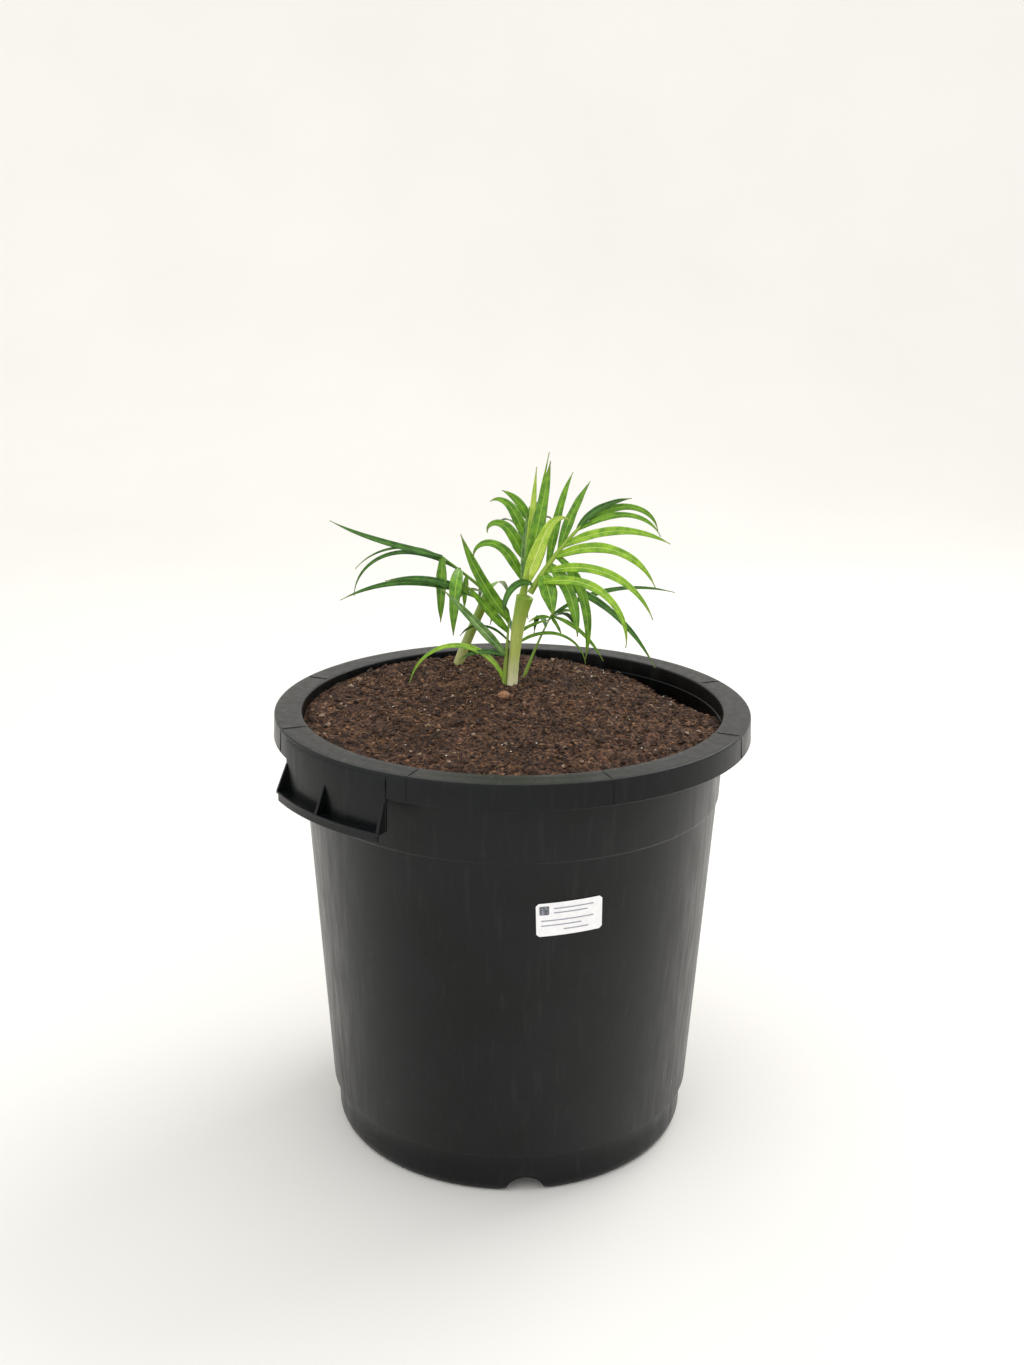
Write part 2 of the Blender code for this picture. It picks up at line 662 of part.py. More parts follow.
SUCKER_BACK_RIB = ((-29, 154.5, 514), 18, 80, 40, 0, 2.0)
SUCKER_BACK_LEAFLETS = (
    (0.90, 78, 72, 20, 80, 1.2, 9, -40),
    (0.80, 84, 100, 16, 80, 1.2, 10, -40),
    (0.60, 74, 130, 14, 80, 1.2, 9, -40),
)

FRONDS = (
    ("frond_spear", SPEAR_RIB, SPEAR_LEAFLETS, "stem"),
    ("frond_right", RIGHT_RIB, RIGHT_LEAFLETS, "stem"),
    ("frond_upper_left", UPPER_LEFT_RIB, UPPER_LEFT_LEAFLETS, "stem"),
    ("frond_left", LEFT_RIB, LEFT_LEAFLETS, "stem"),
    ("frond_right_low", RIGHT_LOW_RIB, RIGHT_LOW_LEAFLETS, "stem"),
    ("frond_back", BACK_RIB, BACK_LEAFLETS, "stem"),
    ("frond_sucker", SUCKER_RIB, SUCKER_LEAFLETS, "sucker"),
    ("frond_sucker_low", SUCKER_LOW_RIB, SUCKER_LOW_LEAFLETS, "sucker"),
    ("frond_sucker_back", SUCKER_BACK_RIB, SUCKER_BACK_LEAFLETS, "sucker"),
)

SEATS = (
    ("stem", STEM_FOOT, STEM_LEVELS[0][2]),
    ("sucker", SUCKER_FOOT, SUCKER_LEVELS[0][2]),
    ("seed", SEED_PLACE, SEED_RADII[0]),
    *((name, rib[0], rib[-1]) for name, rib, _, _ in FRONDS if len(rib[0]) == 2),
)


def main():
    global parts, cutters
    for thing in list(bpy.data.objects):
        bpy.data.objects.remove(thing)
    parts = collection(OBJECT_NAME)
    cutters = collection("cutters")
    plastic = material("black_plastic", (0.012, 0.014, 0.017), 0.5)
    paper = material("label_paper", (0.85, 0.85, 0.86), 0.6)
    mix = material("potting_mix", (0.055, 0.03, 0.018), 0.95)
    stalk = material("pale_stem", (0.42, 0.55, 0.08), 0.45)
    blade = material("green_leaf", (0.09, 0.26, 0.02), 0.4)
    husk = material("seed_husk", (0.2, 0.1, 0.05), 0.8)
    build_pot(plastic)
    build_label(paper)
    build_soil(mix)
    build_seed(husk)
    clears = {}
    for name, foot, levels in (("stem", STEM_FOOT, STEM_LEVELS), ("sucker", SUCKER_FOOT, SUCKER_LEVELS)):
        _, clears[name] = build_stem(name, foot, levels, stalk)
    taken = collection("clearances")
    for name, rib, leaflets, stem in FRONDS:
        build_frond(name, rib, leaflets, [clears[stem]], taken, blade)
    for clearance in list(taken.objects):
        bpy.data.objects.remove(clearance)
    bpy.data.collections.remove(taken)


if __name__ == "__main__":
    main()
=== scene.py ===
"""Looks of the potted palm seedling: fine leaflets, potting mix, moulded pot and label.

Lengths are written in millimetres and turned to metres by MM. A heading is an angle in degrees
round the pot from its front (-Y) towards its right side (+X). A bearing is the compass way that
a leaf grows: 0 is right (+X), 90 is back (+Y), 180 is left and -90 is front.
"""

import math
import random

import bmesh
import bpy
from bpy.props import FloatProperty, FloatVectorProperty, IntProperty, PointerProperty
from mathutils import Matrix, Vector, noise


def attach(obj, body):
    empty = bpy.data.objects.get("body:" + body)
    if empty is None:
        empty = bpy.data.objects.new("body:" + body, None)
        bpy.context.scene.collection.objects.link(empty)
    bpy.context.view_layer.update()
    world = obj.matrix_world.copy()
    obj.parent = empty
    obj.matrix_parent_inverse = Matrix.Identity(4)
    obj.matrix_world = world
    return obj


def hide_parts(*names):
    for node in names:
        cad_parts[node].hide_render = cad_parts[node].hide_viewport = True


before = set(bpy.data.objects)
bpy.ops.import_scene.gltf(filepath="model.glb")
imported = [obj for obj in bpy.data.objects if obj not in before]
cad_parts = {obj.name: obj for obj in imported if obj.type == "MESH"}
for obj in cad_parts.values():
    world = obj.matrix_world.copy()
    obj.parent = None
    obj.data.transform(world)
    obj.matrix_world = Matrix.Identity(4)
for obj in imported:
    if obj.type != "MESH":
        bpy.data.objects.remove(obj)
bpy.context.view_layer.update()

bl_info = {
    "name": "Potted Palm Seedling",
    "version": (1, 0, 0),
    "blender": (4, 5, 0),
    "location": "View3D > Sidebar > Palm",
    "description": "Builds the finished look of a palm seedling in its nursery pot",
    "category": "Object",
}

MM = 0.001
GAP = 0.3 * MM

# Pot
POT_HEIGHT = 447 * MM
RIM_RADIUS = 240 * MM
RIM_EDGE = 2 * MM
RIM_DISH = 0.25 * MM
RIM_DISH_INSET = 9 * MM
MOUTH_RADIUS = 212.5 * MM
MOUTH_EDGE = 1.6 * MM
WALL = 3 * MM
SKIRT_DEPTH = 24 * MM
SKIRT_FLARE = 1 * MM
BAND_TOP_RADIUS = 215.2 * MM
BAND_FOOT_RADIUS = 211.6 * MM
BAND_FOOT = 361.5 * MM
WALL_TOP_RADIUS = 209.8 * MM
WALL_TOP = 359.8 * MM
WALL_FOOT_RADIUS = 189.3 * MM
WALL_FOOT = 43.2 * MM
FOOT_RADIUS = 184 * MM
FOOT_CORNER = 12 * MM
FOOT_CORNER_WIDTH = 7 * MM
FOOT_LIP = 9 * MM
FLOOR = 22 * MM
LEDGE_DROP = 15 * MM
LEDGE_WIDTH = 0.5 * MM
SEAM_HEADINGS = (-158, -113, -68.5, -23, 22, 66, 112, 157)
SEAM_TURN = 0.2
NOTCH_HEADINGS = (5.1, 125.1, 245.1)
NOTCH_WIDTH = 54 * MM
NOTCH_CROWN = 32 * MM
NOTCH_HEIGHT = 17 * MM
NOTCH_SPLAY = 2 * MM

# Grips and stacking lugs under the rim
GRIP_HEADINGS = (-45.5, 134.5)
GRIP_STEPS = 36
APRON_HALF = 17.7
APRON_RADIUS = 241.6 * MM
APRON_THICKNESS = 3.2 * MM
LIP_DROP = 53 * MM
LIP_RADIUS = 253 * MM
LIP_THICKNESS = 2.6 * MM
HEM_DROP = 62 * MM
HEM_HALF = 16.4
GUSSET_HEIGHT = 26 * MM
GUSSET_HALF = 0.35
GUSSET_OFFSETS = (-17.2, 0.0, 17.2)
GRIP_EDGE = 0.6 * MM
LUG_HEADINGS = (29.5, 44.5, 209.5, 224.5)
LUG_HALF = 2.4
LUG_DROP = 6 * MM
LUG_SINK = 4 * MM
LUG_TOP_REACH = 12 * MM
LUG_FOOT_REACH = 8 * MM
LUG_EDGE = 0.8 * MM

# Label on the wall
LABEL_WIDTH = 63.5 * MM
LABEL_HEIGHT = 33.9 * MM
LABEL_CORNER = 2.5 * MM
LABEL_HEADING = 15.2
LABEL_LEVEL = 304 * MM
LABEL_TURN = 2.3
LABEL_CLEAR = 1.3 * GAP
LABEL_FILM = 0.25 * MM
PRINT_PROUD = 0.22 * MM
PRINT_LINE = 1.1 * MM
# Place of the box's middle on the label, its width and its height
PRINT_BOX = (-24 * MM, 9.5 * MM, 9 * MM, 9 * MM)
# Place of each line's middle on the label, and its width
PRINT_LINES = ((4 * MM, 11 * MM, 38 * MM), (1 * MM, 6.5 * MM, 32 * MM), (-2 * MM, -1 * MM, 50 * MM),
               (-8 * MM, -6 * MM, 38 * MM), (6 * MM, -11 * MM, 24 * MM))

# Potting mix
SOIL_MIDDLE = 2 * MM
SOIL_EDGE = -13 * MM
HOLLOW_DEPTH = 22 * MM
HOLLOW_HEADING = 118
HOLLOW_WIDTH = 24
BANK_HEIGHT = 7 * MM
BANK_HEADING = 215
BANK_WIDTH = 42
MOUND_HEIGHT = 6 * MM
MOUND_RADIUS = 70 * MM
LUMP_HEIGHT = 3 * MM
LUMP_SIZE = 38 * MM
SEAT_DEPTH = 2.5 * MM
# Width and height of the clods, clumps and crumbs in the surface of the mix
MIX_RELIEF = ((17 * MM, 4.4 * MM), (7 * MM, 2.4 * MM), (3 * MM, 1.2 * MM))
MIX_STEPS = 300
MIX_RINGS = 96
MIX_SEED = 5
MIX_MARGIN = 3 * MM
# Size and share of each kind of loose bit, in the order of CRUMB_FINISHES
CRUMB_KINDS = ((2.6 * MM, 0.36), (1.4 * MM, 0.42), (2.2 * MM, 0.185), (1.0 * MM, 0.02),
               (2.8 * MM, 0.015))
CRUMB_FINISHES = (("crumb_dark", "#20140d", "#4a3325"), ("crumb_brown", "#4a3223", "#77573f"),
                  ("bark_chip", "#5b3a26", "#96704f"), ("perlite", "#cfc8ba", "#f1ede4"),
                  ("gravel", "#77614c", "#ab917a"))
BARK_CHIP = 2
FIBRE_RADIUS = 0.22 * MM
FIBRE_POINTS = 6

# Stems: foot, then height, sideways lean and radius at each level above the mix
STEM_FOOT = (-0.8, 43.0)
STEM_LEVELS = ((0, 0.0, 6.8), (4, 0.0, 5.8), (28, 1.6, 5.6), (56, 4.6, 6.4), (76, 8.0, 7.2),
               (95, 12.6, 9.2))
SUCKER_FOOT = (-60.0, 150.0)
SUCKER_LEVELS = ((0, 0.0, 6.4), (5, 0.0, 5.8), (30, 9.0, 5.4), (58, 21.0, 5.0), (84, 32.0, 5.4))
SEED_PLACE = (-9.0, 8.0)
SEED_RADII = (6.8, 6.2, 5.6)
STEM_SIDES = 36
# The sheath's free edge stands out by a share of the radius, and winds round by turns
SHEATH_EDGE = 0.055
SHEATH_TURNS = 0.9
SHEATH_FOLDS = 7
# Height over which its colour turns from cream to green
SHEATH_REACH = 110 * MM
# Each stem closes over its fork in short steps, by shares of its last radius
STEM_CLOSE = (0.86, 0.62, 0.3)
SEED_SINK = 0.27
SEED_LIFT = 1.5 * MM

# Leaflets
LEAF_FOLD = 0.16
LEAF_TIP_WIDTH = 1.0 * MM
LEAF_THICKNESS = 0.8 * MM
BLADE_STATIONS = 26
BLADE_CELLS = 8
# Height of the pleats and of the margin's wave, as shares of half the width
BLADE_PLEAT = 0.05
BLADE_WAVE = 0.06
BLADE_WOBBLE = 0.04
MIDRIB_HEIGHT = 0.5 * MM
MIDRIB_WIDTH = 0.12
RIB_STATIONS = 6
RIB_RINGS = 40
RIB_SIDES = 14
RIB_EDGE = 0.04

# Each rib: root, length, bearing, rise, droop, root radius. A root with no level is in the mix.
# Each leaflet: share along the rib, length, bearing, rise, droop, bend, width, facing
SPEAR_RIB = ((9, 44, 547), 44, 0, 80, 0, 4.4)
SPEAR_LEAFLETS = (
    (0.50, 121, 5, 77, -4, 1.0, 15, 80),
    (0.70, 120, 45, 78, 4, 1.0, 5, 80),
    (0.60, 108, 50, 83, 0, 1.0, 8, 80),
    (0.30, 92, -12, 70, 124, 7.0, 16, 78),
    (0.20, 78, 80, 86, 10, 1.0, 9, 70),
)

RIGHT_RIB = ((17, 41, 553), 115, 5, 61, 20, 3.4)
RIGHT_LEAFLETS = (
    (0.70, 66, -6, 66, 58, 0.7, 8, 60),
    (0.82, 86, -5, 30, 112, 1.9, 8, 62),
    (0.70, 96, -12, 30, 95, 1.9, 7, 62),
    (0.50, 118, -20, 30, 56, 1.3, 10, 64),
    (0.38, 126, -25, 26, 92, 1.5, 11, 66),
    (0.22, 142, -30, 18, 84, 1.5, 10, 66),
    (0.10, 150, -40, 16, 116, 1.9, 10, 66),
    (0.29, 104, 60, 70, 30, 2.0, 10, 30),
    (0.46, 80, 45, 68, 24, 1.0, 11, 30),
    (0.06, 60, 215, 54, 160, 0.8, 9, 40),
    (0.20, 46, -62, -25, 50, 0.5, 19, 70),
    (0.30, 84, -42, -12, 76, 0.6, 14, 70),
    (0.40, 118, -30, -10, 90, 0.5, 11, 70),
    (0.14, 156, -14, 0, 62, 0.8, 8, 55),
)

UPPER_LEFT_RIB = ((10, 54, 547), 92, 75, 82, 12, 2.8)
UPPER_LEFT_LEAFLETS = (
    (0.84, 43, 180, 70, 50, 1.3, 10, 60),
    (0.63, 62, 184, 66, 110, 4.0, 12, 60),
    (0.40, 68, 194, 64, 175, 4.0, 13, 60),
    (0.16, 84, 195, 62, 170, 3.0, 11, 60),
    (0.70, 56, 60, 30, 60, 1.5, 11, -30),
    (0.65, 80, 75, 50, 80, 1.5, 11, -40),
    (0.40, 84, 95, 45, 90, 1.5, 11, -40),
    (0.60, 66, 120, 40, 80, 1.5, 11, -30),
)

LEFT_RIB = ((-9.5, 41), 74, 0, 86, 0, 2.6)
LEFT_LEAFLETS = (
    (0.96, 106, 196, 52, -18, 1.0, 13, 66),
    (0.98, 32, 180, 62, 0, 1.0, 8, 66),
    (0.80, 70, 200, 48, -2, 1.0, 10, 60),
    (0.46, 104, 206, 47, 0, 1.0, 11, 50),
    (0.06, 144, 168, 78, 160, 0.9, 7, 40),
    (0.44, 52, 172, 22, 58, 1.0, 7, 40),
)

RIGHT_LOW_RIB = ((11, 71), 76, 17, 70, 8, 2.0)
RIGHT_LOW_LEAFLETS = (
    (0.96, 140, 8, 38, 54, 0.9, 6, 50),
    (0.96, 76, -6, -2, 60, 0.6, 5, 60),
    (0.96, 24, 0, -50, 20, 1.0, 4, 60),
    (0.98, 28, 10, 34, 60, 1.0, 4, 60),
    (0.94, 24, 175, 16, 60, 1.0, 4, 60),
    (0.90, 80, 60, 12, 80, 1.2, 8, -40),
    (0.80, 76, 100, 20, 90, 1.2, 8, -40),
)

BACK_RIB = ((-4, 60), 50, 60, 80, 10, 2.2)
BACK_LEAFLETS = (
    (0.70, 98, 4, 42, 124, 1.2, 4, 60),
    (0.96, 40, 8, 38, 30, 1.0, 4, 60),
    (0.95, 92, 80, 42, 96, 1.2, 9, -40),
    (0.85, 100, 108, 42, 100, 1.2, 9, -40),
    (0.70, 84, 140, 40, 90, 1.2, 9, -40),
)

SUCKER_RIB = ((-29, 150, 528), 64, 182, 40, 2, 2.4)
SUCKER_LEAFLETS = (
    (0.98, 128, 182, 13, -16, 2.2, 8, 50),
    (0.60, 146, 180, 30, 118, 1.6, 6, 50),
    (0.90, 112, 170, 26, 76, 1.2, 4, 50),
    (0.98, 72, 260, -70, 18, 0.5, 12, 76),
    (0.60, 84, 262, 60, 150, 0.3, 14, 76),
    (0.45, 36, 250, -50, 40, 0.4, 7, 70),
)

SUCKER_LOW_RIB = ((-33, 147, 518), 26, 186, 30, 0, 2.0)
SUCKER_LOW_LEAFLETS = (
    (0.50, 150, 186, 26, 54, 1.0, 9, 50),
    (0.60, 98, 190, 32, 42, 1.0, 9, 50),
)

SUCKER_BACK_RIB = ((-29, 154.5, 514), 18, 80, 40, 0, 2.0)
SUCKER_BACK_LEAFLETS = (
    (0.90, 78, 72, 20, 80, 1.2, 9, -40),
    (0.80, 84, 100, 16, 80, 1.2, 10, -40),
    (0.60, 74, 130, 14, 80, 1.2, 9, -40),
)

# Each frond: its node, rib, leaflets, and the tint of each leaflet by its letter in LEAF_TINTS
FRONDS = (
    ("frond_spear", SPEAR_RIB, SPEAR_LEAFLETS, "mlpps"),
    ("frond_right", RIGHT_RIB, RIGHT_LEAFLETS, "dmmllllmmdmmmd"),
    ("frond_upper_left", UPPER_LEFT_RIB, UPPER_LEFT_LEAFLETS, "mmmmdddd"),
    ("frond_left", LEFT_RIB, LEFT_LEAFLETS, "mdmsld"),
    ("frond_right_low", RIGHT_LOW_RIB, RIGHT_LOW_LEAFLETS, "dmmmmdd"),
    ("frond_back", BACK_RIB, BACK_LEAFLETS, "mmddd"),
    ("frond_sucker", SUCKER_RIB, SUCKER_LEAFLETS, "dddmmm"),
    ("frond_sucker_low", SUCKER_LOW_RIB, SUCKER_LOW_LEAFLETS, "dd"),
    ("frond_sucker_back", SUCKER_BACK_RIB, SUCKER_BACK_LEAFLETS, "mdm"),
)
YOUNG_FRONDS = ("frond_spear", "frond_right")
# Letter of each tint: its name, and its colours between the veins, on the veins and at the midrib. The
# tints are lit and shaded copies of the leaf green, given leaflet by leaflet: m is the plain green, d is
# painted shade, l and p are painted light over the younger leaflets' own paler green, and s is a painted
# sheen
LEAF_TINTS = {
    "l": ("light", "#5a9410", "#b0dc30", "#d9ee7a"),
    "m": ("mid", "#3c740c", "#86bc22", "#b4d84e"),
    "d": ("deep", "#1d4c0c", "#4f8a20", "#86b244"),
    "p": ("pale", "#92c21e", "#d8ee62", "#eef7a0"),
    "s": ("silver", "#3a6c28", "#98c468", "#dcebb4"),
}

# Studio
SWEEP_WIDTH = 16
SWEEP_LENGTH = 14
SWEEP_FRONT = 5
SWEEP_STEPS = 60
BEND_START = 3.0
BEND_RADIUS = 2.0
# Name, place, size and share of the key light's power
LAMPS = (("key", (1.5, 1.3, 2.3), 1.6, 1), ("fill", (-1.6, -1.6, 1.8), 2.2, 0.25))
LAMP_AIM = (0, 0, 0.45)
CAMERA_PLACE = (-0.0009, -1.494, 0.9105)
CAMERA_PITCH = 73.55
CAMERA_ROLL = 0.0087
SENSOR_WIDTH = 36


def polar(radius, heading, level):
    """Point at a radius and level, at a heading in degrees round the pot."""
    angle = math.radians(heading)
    return Vector((radius * math.sin(angle), -radius * math.cos(angle), level))


def toward(bearing, rise):
    """Unit vector of a way of growing, from its compass bearing and its rise."""
    flat = math.cos(math.radians(rise))
    return Vector((flat * math.cos(math.radians(bearing)),
                   flat * math.sin(math.radians(bearing)),
                   math.sin(math.radians(rise))))


def arc(centre, radius, start, end, steps):
    """Points of an arc in the radius and level plane, with both ends."""
    angles = [math.radians(start + (end - start) * i / steps) for i in range(steps + 1)]
    return [(centre[0] + radius * math.cos(a), centre[1] + radius * math.sin(a)) for a in angles]


def swell(heading, middle, width):
    """Smooth hump round a heading, one at its middle."""
    off = (heading - middle + 180) % 360 - 180
    return math.exp(-((off / width) ** 2))


def soil_top(x, y):
    """Height of the potting mix at a place inside the pot, without its crumbs."""
    reach = min(math.hypot(x, y) / MOUTH_RADIUS, 1)
    heading = math.degrees(math.atan2(x, -y))
    edge = SOIL_EDGE - HOLLOW_DEPTH * swell(heading, HOLLOW_HEADING, HOLLOW_WIDTH)
    edge += BANK_HEIGHT * swell(heading, BANK_HEADING, BANK_WIDTH)
    off_stem = math.hypot(x - STEM_FOOT[0] * MM, y - STEM_FOOT[1] * MM)
    mound = MOUND_HEIGHT * math.exp(-((off_stem / MOUND_RADIUS) ** 2))
    lumps = LUMP_HEIGHT * noise.noise(Vector((x, y, 0)) / LUMP_SIZE)
    return POT_HEIGHT + SOIL_MIDDLE + (edge - SOIL_MIDDLE) * reach ** 3 + mound + lumps


def crumb_relief(x, y):
    """Height of the mix's clods and crumbs over its smooth surface."""
    flat = Vector((x, y, 0))
    return sum(noise.noise(flat / width) * height for width, height in MIX_RELIEF)


def seat_level(place):
    """Level of the flat ground that a stem with its foot at a place stands on."""
    return soil_top(place[0] * MM, place[1] * MM) - SEAT_DEPTH


def wall_radius(level):
    """Outer radius of the pot's wall or band at a level."""
    if level > BAND_FOOT:
        low, high = (BAND_FOOT, BAND_FOOT_RADIUS), (POT_HEIGHT - WALL, BAND_TOP_RADIUS)
    else:
        low, high = (WALL_FOOT, WALL_FOOT_RADIUS), (WALL_TOP, WALL_TOP_RADIUS)
    share = (level - low[0]) / (high[0] - low[0])
    return low[1] + share * (high[1] - low[1])


def inner_radius(level):
    """Radius of the space inside the pot at a level."""
    if level > POT_HEIGHT - LEDGE_DROP + WALL:
        return MOUTH_RADIUS - LEDGE_WIDTH
    return wall_radius(level) - WALL


# Materials

NOISE = "ShaderNodeTexNoise"
MAPPING = "ShaderNodeMapping"
RAMP = "ShaderNodeValToRGB"
RANGE = "ShaderNodeMapRange"
MIX = "ShaderNodeMix"
MATHS = "ShaderNodeMath"
BUMP = "ShaderNodeBump"
# Sockets of a colour mix: its factor and its two colours
SHARE, UNDER, OVER = 0, 6, 7


def colour(text):
    """Linear colour with alpha from an sRGB hex value."""
    parts = [int(text[i:i + 2], 16) / 255 for i in (1, 3, 5)]
    return (*(c / 12.92 if c < 0.04045 else ((c + 0.055) / 1.055) ** 2.4 for c in parts), 1)


def connect(tree, target, inputs):
    """Give a node its values and links. Another node is linked by its first live output."""
    for name, value in inputs.items():
        if isinstance(value, bpy.types.Node):
            value = next(output for output in value.outputs if output.enabled)
        if isinstance(value, bpy.types.NodeSocket):
            tree.links.new(value, target.inputs[name])
        else:
            target.inputs[name].default_value = value


def node(tree, kind, inputs=None, stops=(), **settings):
    """Add a node with its settings, its values, its links and its ramp's stops."""
    made = tree.nodes.new(kind)
    for name, value in settings.items():
        setattr(made, name, value)
    connect(tree, made, inputs or {})
    if stops:
        band = made.color_ramp
        band.interpolation = "EASE"
        while len(band.elements) < len(stops):
            band.elements.new(0.5)
        for element, (place, shade) in zip(band.elements, stops):
            element.position = place
            element.color = shade
    return made


def grain(where, size, detail, roughness=0.55):
    """Values of a noise whose spots are about a size across."""
    return {"Vector": where, "Scale": 1 / size, "Detail": detail, "Roughness": roughness}


def substance(name):
    """New material: itself, its tree, its shader and its Object coordinates."""
    made = bpy.data.materials.new(name)
    made.use_nodes = True
    tree = made.node_tree
    where = node(tree, "ShaderNodeTexCoord").outputs["Object"]
    return made, tree, tree.nodes["Principled BSDF"], where


def moulded_polypropylene(plastic):
    """Black recycled polypropylene: a satin skin with a fine mould grain and thin dust."""
    made, tree, shader, where = substance("moulded_polypropylene")
    broad = node(tree, NOISE, grain(where, 90 * MM, 2))
    base = node(tree, RAMP, {"Fac": broad}, ((0.3, plastic), (0.7, colour("#0b0e10"))))
    # Dust lies in upright runs, 7 mm apart, where water has dried
    upright = node(tree, MAPPING, {"Vector": where, "Scale": (1, 1, 0.12)})
    runs = node(tree, NOISE, grain(upright, 7 * MM, 4))
    dust = node(tree, RANGE, {"Value": runs, "From Min": 0.56, "From Max": 0.85, "To Max": 0.08})
    base = node(tree, MIX, {SHARE: dust, UNDER: base, OVER: colour("#6a6a66")}, data_type="RGBA")
    specks = node(tree, NOISE, grain(where, 1.6 * MM, 2))
    grit = node(tree, RANGE, {"Value": specks, "From Min": 0.68, "From Max": 0.8, "To Max": 0.14})
    base = node(tree, MIX, {SHARE: grit, UNDER: base, OVER: colour("#77756e")}, data_type="RGBA")
    dull = node(tree, RANGE, {"Value": runs, "From Min": 0.3, "From Max": 0.8,
                                  "To Min": 0.26, "To Max": 0.45})
    # The mould's grain is 0.4 mm, drawn at 1.2 mm so that it shows
    skin = node(tree, NOISE, grain(where, 1.2 * MM, 2))
    bump = node(tree, BUMP, {"Height": skin, "Distance": 0.12 * MM, "Strength": 0.5})
    # The soot in the plastic swallows light, so its shine is low
    connect(tree, shader, {"Base Color": base, "Roughness": dull, "Normal": bump, "IOR": 1.49,
                           "Specular IOR Level": 0.25})
    return made


def label_film(paper):
    """White coated label film: almost smooth, with a mottle 6 mm across."""
    made, tree, shader, where = substance("label_film")
    mottle = node(tree, NOISE, grain(where, 6 * MM, 3))
    base = node(tree, RAMP, {"Fac": mottle}, ((0.3, colour("#f2f0f1")), (0.7, paper)))
    connect(tree, shader, {"Base Color": base, "Roughness": 0.38, "IOR": 1.46})
    return made


def printing_ink(name, text):
    """Thermal print: flat, and thin in spots 2 mm across."""
    made, tree, shader, where = substance(name)
    thin = node(tree, NOISE, grain(where, 2 * MM, 3))
    base = node(tree, RAMP, {"Fac": thin}, ((0.2, colour(text)), (0.9, colour("#a9adb5"))))
    connect(tree, shader, {"Base Color": base, "Roughness": 0.5, "IOR": 1.45})
    return made


def bark_mix(bark):
    """Composted bark and coir: matt, in crumbs of many browns, with broad dark patches of painted shade.
    """
    made, tree, shader, where = substance("bark_mix")
    crumbs = node(tree, NOISE, grain(where, 4 * MM, 5, 0.7))
    base = node(tree, RAMP, {"Fac": crumbs}, ((0.32, colour("#0d0704")), (0.46, colour("#38261b")),
                                              (0.57, bark), (0.75, colour("#b08a6c"))))
    # Broad dark patches, 60 mm across, are painted shade laid at random over the mix
    shade_patches = node(tree, NOISE, grain(where, 60 * MM, 2))
    dark = node(tree, RANGE, {"Value": shade_patches, "From Min": 0.4, "From Max": 0.7, "To Max": 0.55})
    base = node(tree, MIX, {SHARE: dark, UNDER: base, OVER: colour("#1f140e")}, data_type="RGBA")
    fine = node(tree, NOISE, grain(where, 1.5 * MM, 4, 0.7))
    bump = node(tree, BUMP, {"Height": fine, "Distance": 1.2 * MM, "Strength": 1})
    connect(tree, shader, {"Base Color": base, "Roughness": 0.92, "Normal": bump, "IOR": 1.4})
    return made


def broken_bit(name, dark, pale, roughness=0.85):
    """Bark, perlite, stone, coir or husk: dull, with a grain 2.2 mm across."""
    made, tree, shader, where = substance(name)
    bits = node(tree, NOISE, grain(where, 2.2 * MM, 4))
    base = node(tree, RAMP, {"Fac": bits}, ((0.3, colour(dark)), (0.7, colour(pale))))
    bump = node(tree, BUMP, {"Height": bits, "Distance": 0.5 * MM, "Strength": 0.8})
    connect(tree, shader, {"Base Color": base, "Roughness": roughness, "Normal": bump, "IOR": 1.45})
    return made


def leaf_sheath(name, foot, middle, top):
    """Fresh leaf sheath: waxy and smooth, pale at its foot and greener above, finely lined."""
    made, tree, shader, where = substance(name)
    level = node(tree, "ShaderNodeSeparateXYZ", {"Vector": where}).outputs["Z"]
    up = node(tree, RANGE, {"Value": level, "From Min": POT_HEIGHT,
                            "From Max": POT_HEIGHT + SHEATH_REACH})
    base = node(tree, RAMP, {"Fac": up},
                ((0.06, colour(foot)), (0.45, colour(middle)), (0.95, colour(top))))
    # Fibres run lengthwise, 1.1 mm apart
    upright = node(tree, MAPPING, {"Vector": where, "Scale": (1, 1, 0.04)})
    fibres = node(tree, NOISE, grain(upright, 1.1 * MM, 3))
    lines = node(tree, RANGE, {"Value": fibres, "From Min": 0.42, "From Max": 0.72, "To Max": 0.42})
    base = node(tree, MIX, {SHARE: lines, UNDER: base, OVER: colour("#7f9a35")}, data_type="RGBA")
    patches = node(tree, MAPPING, {"Vector": where, "Scale": (1, 1, 0.4)})
    blush = node(tree, NOISE, grain(patches, 16 * MM, 3))
    brown = node(tree, RANGE, {"Value": blush, "From Min": 0.6, "From Max": 0.8, "To Max": 0.4})
    base = node(tree, MIX, {SHARE: brown, UNDER: base, OVER: colour("#a58f52")}, data_type="RGBA")
    bump = node(tree, BUMP, {"Height": fibres, "Distance": 0.25 * MM, "Strength": 0.7})
    connect(tree, shader, {"Base Color": base, "Roughness": 0.36, "Normal": bump, "IOR": 1.42})
    return made


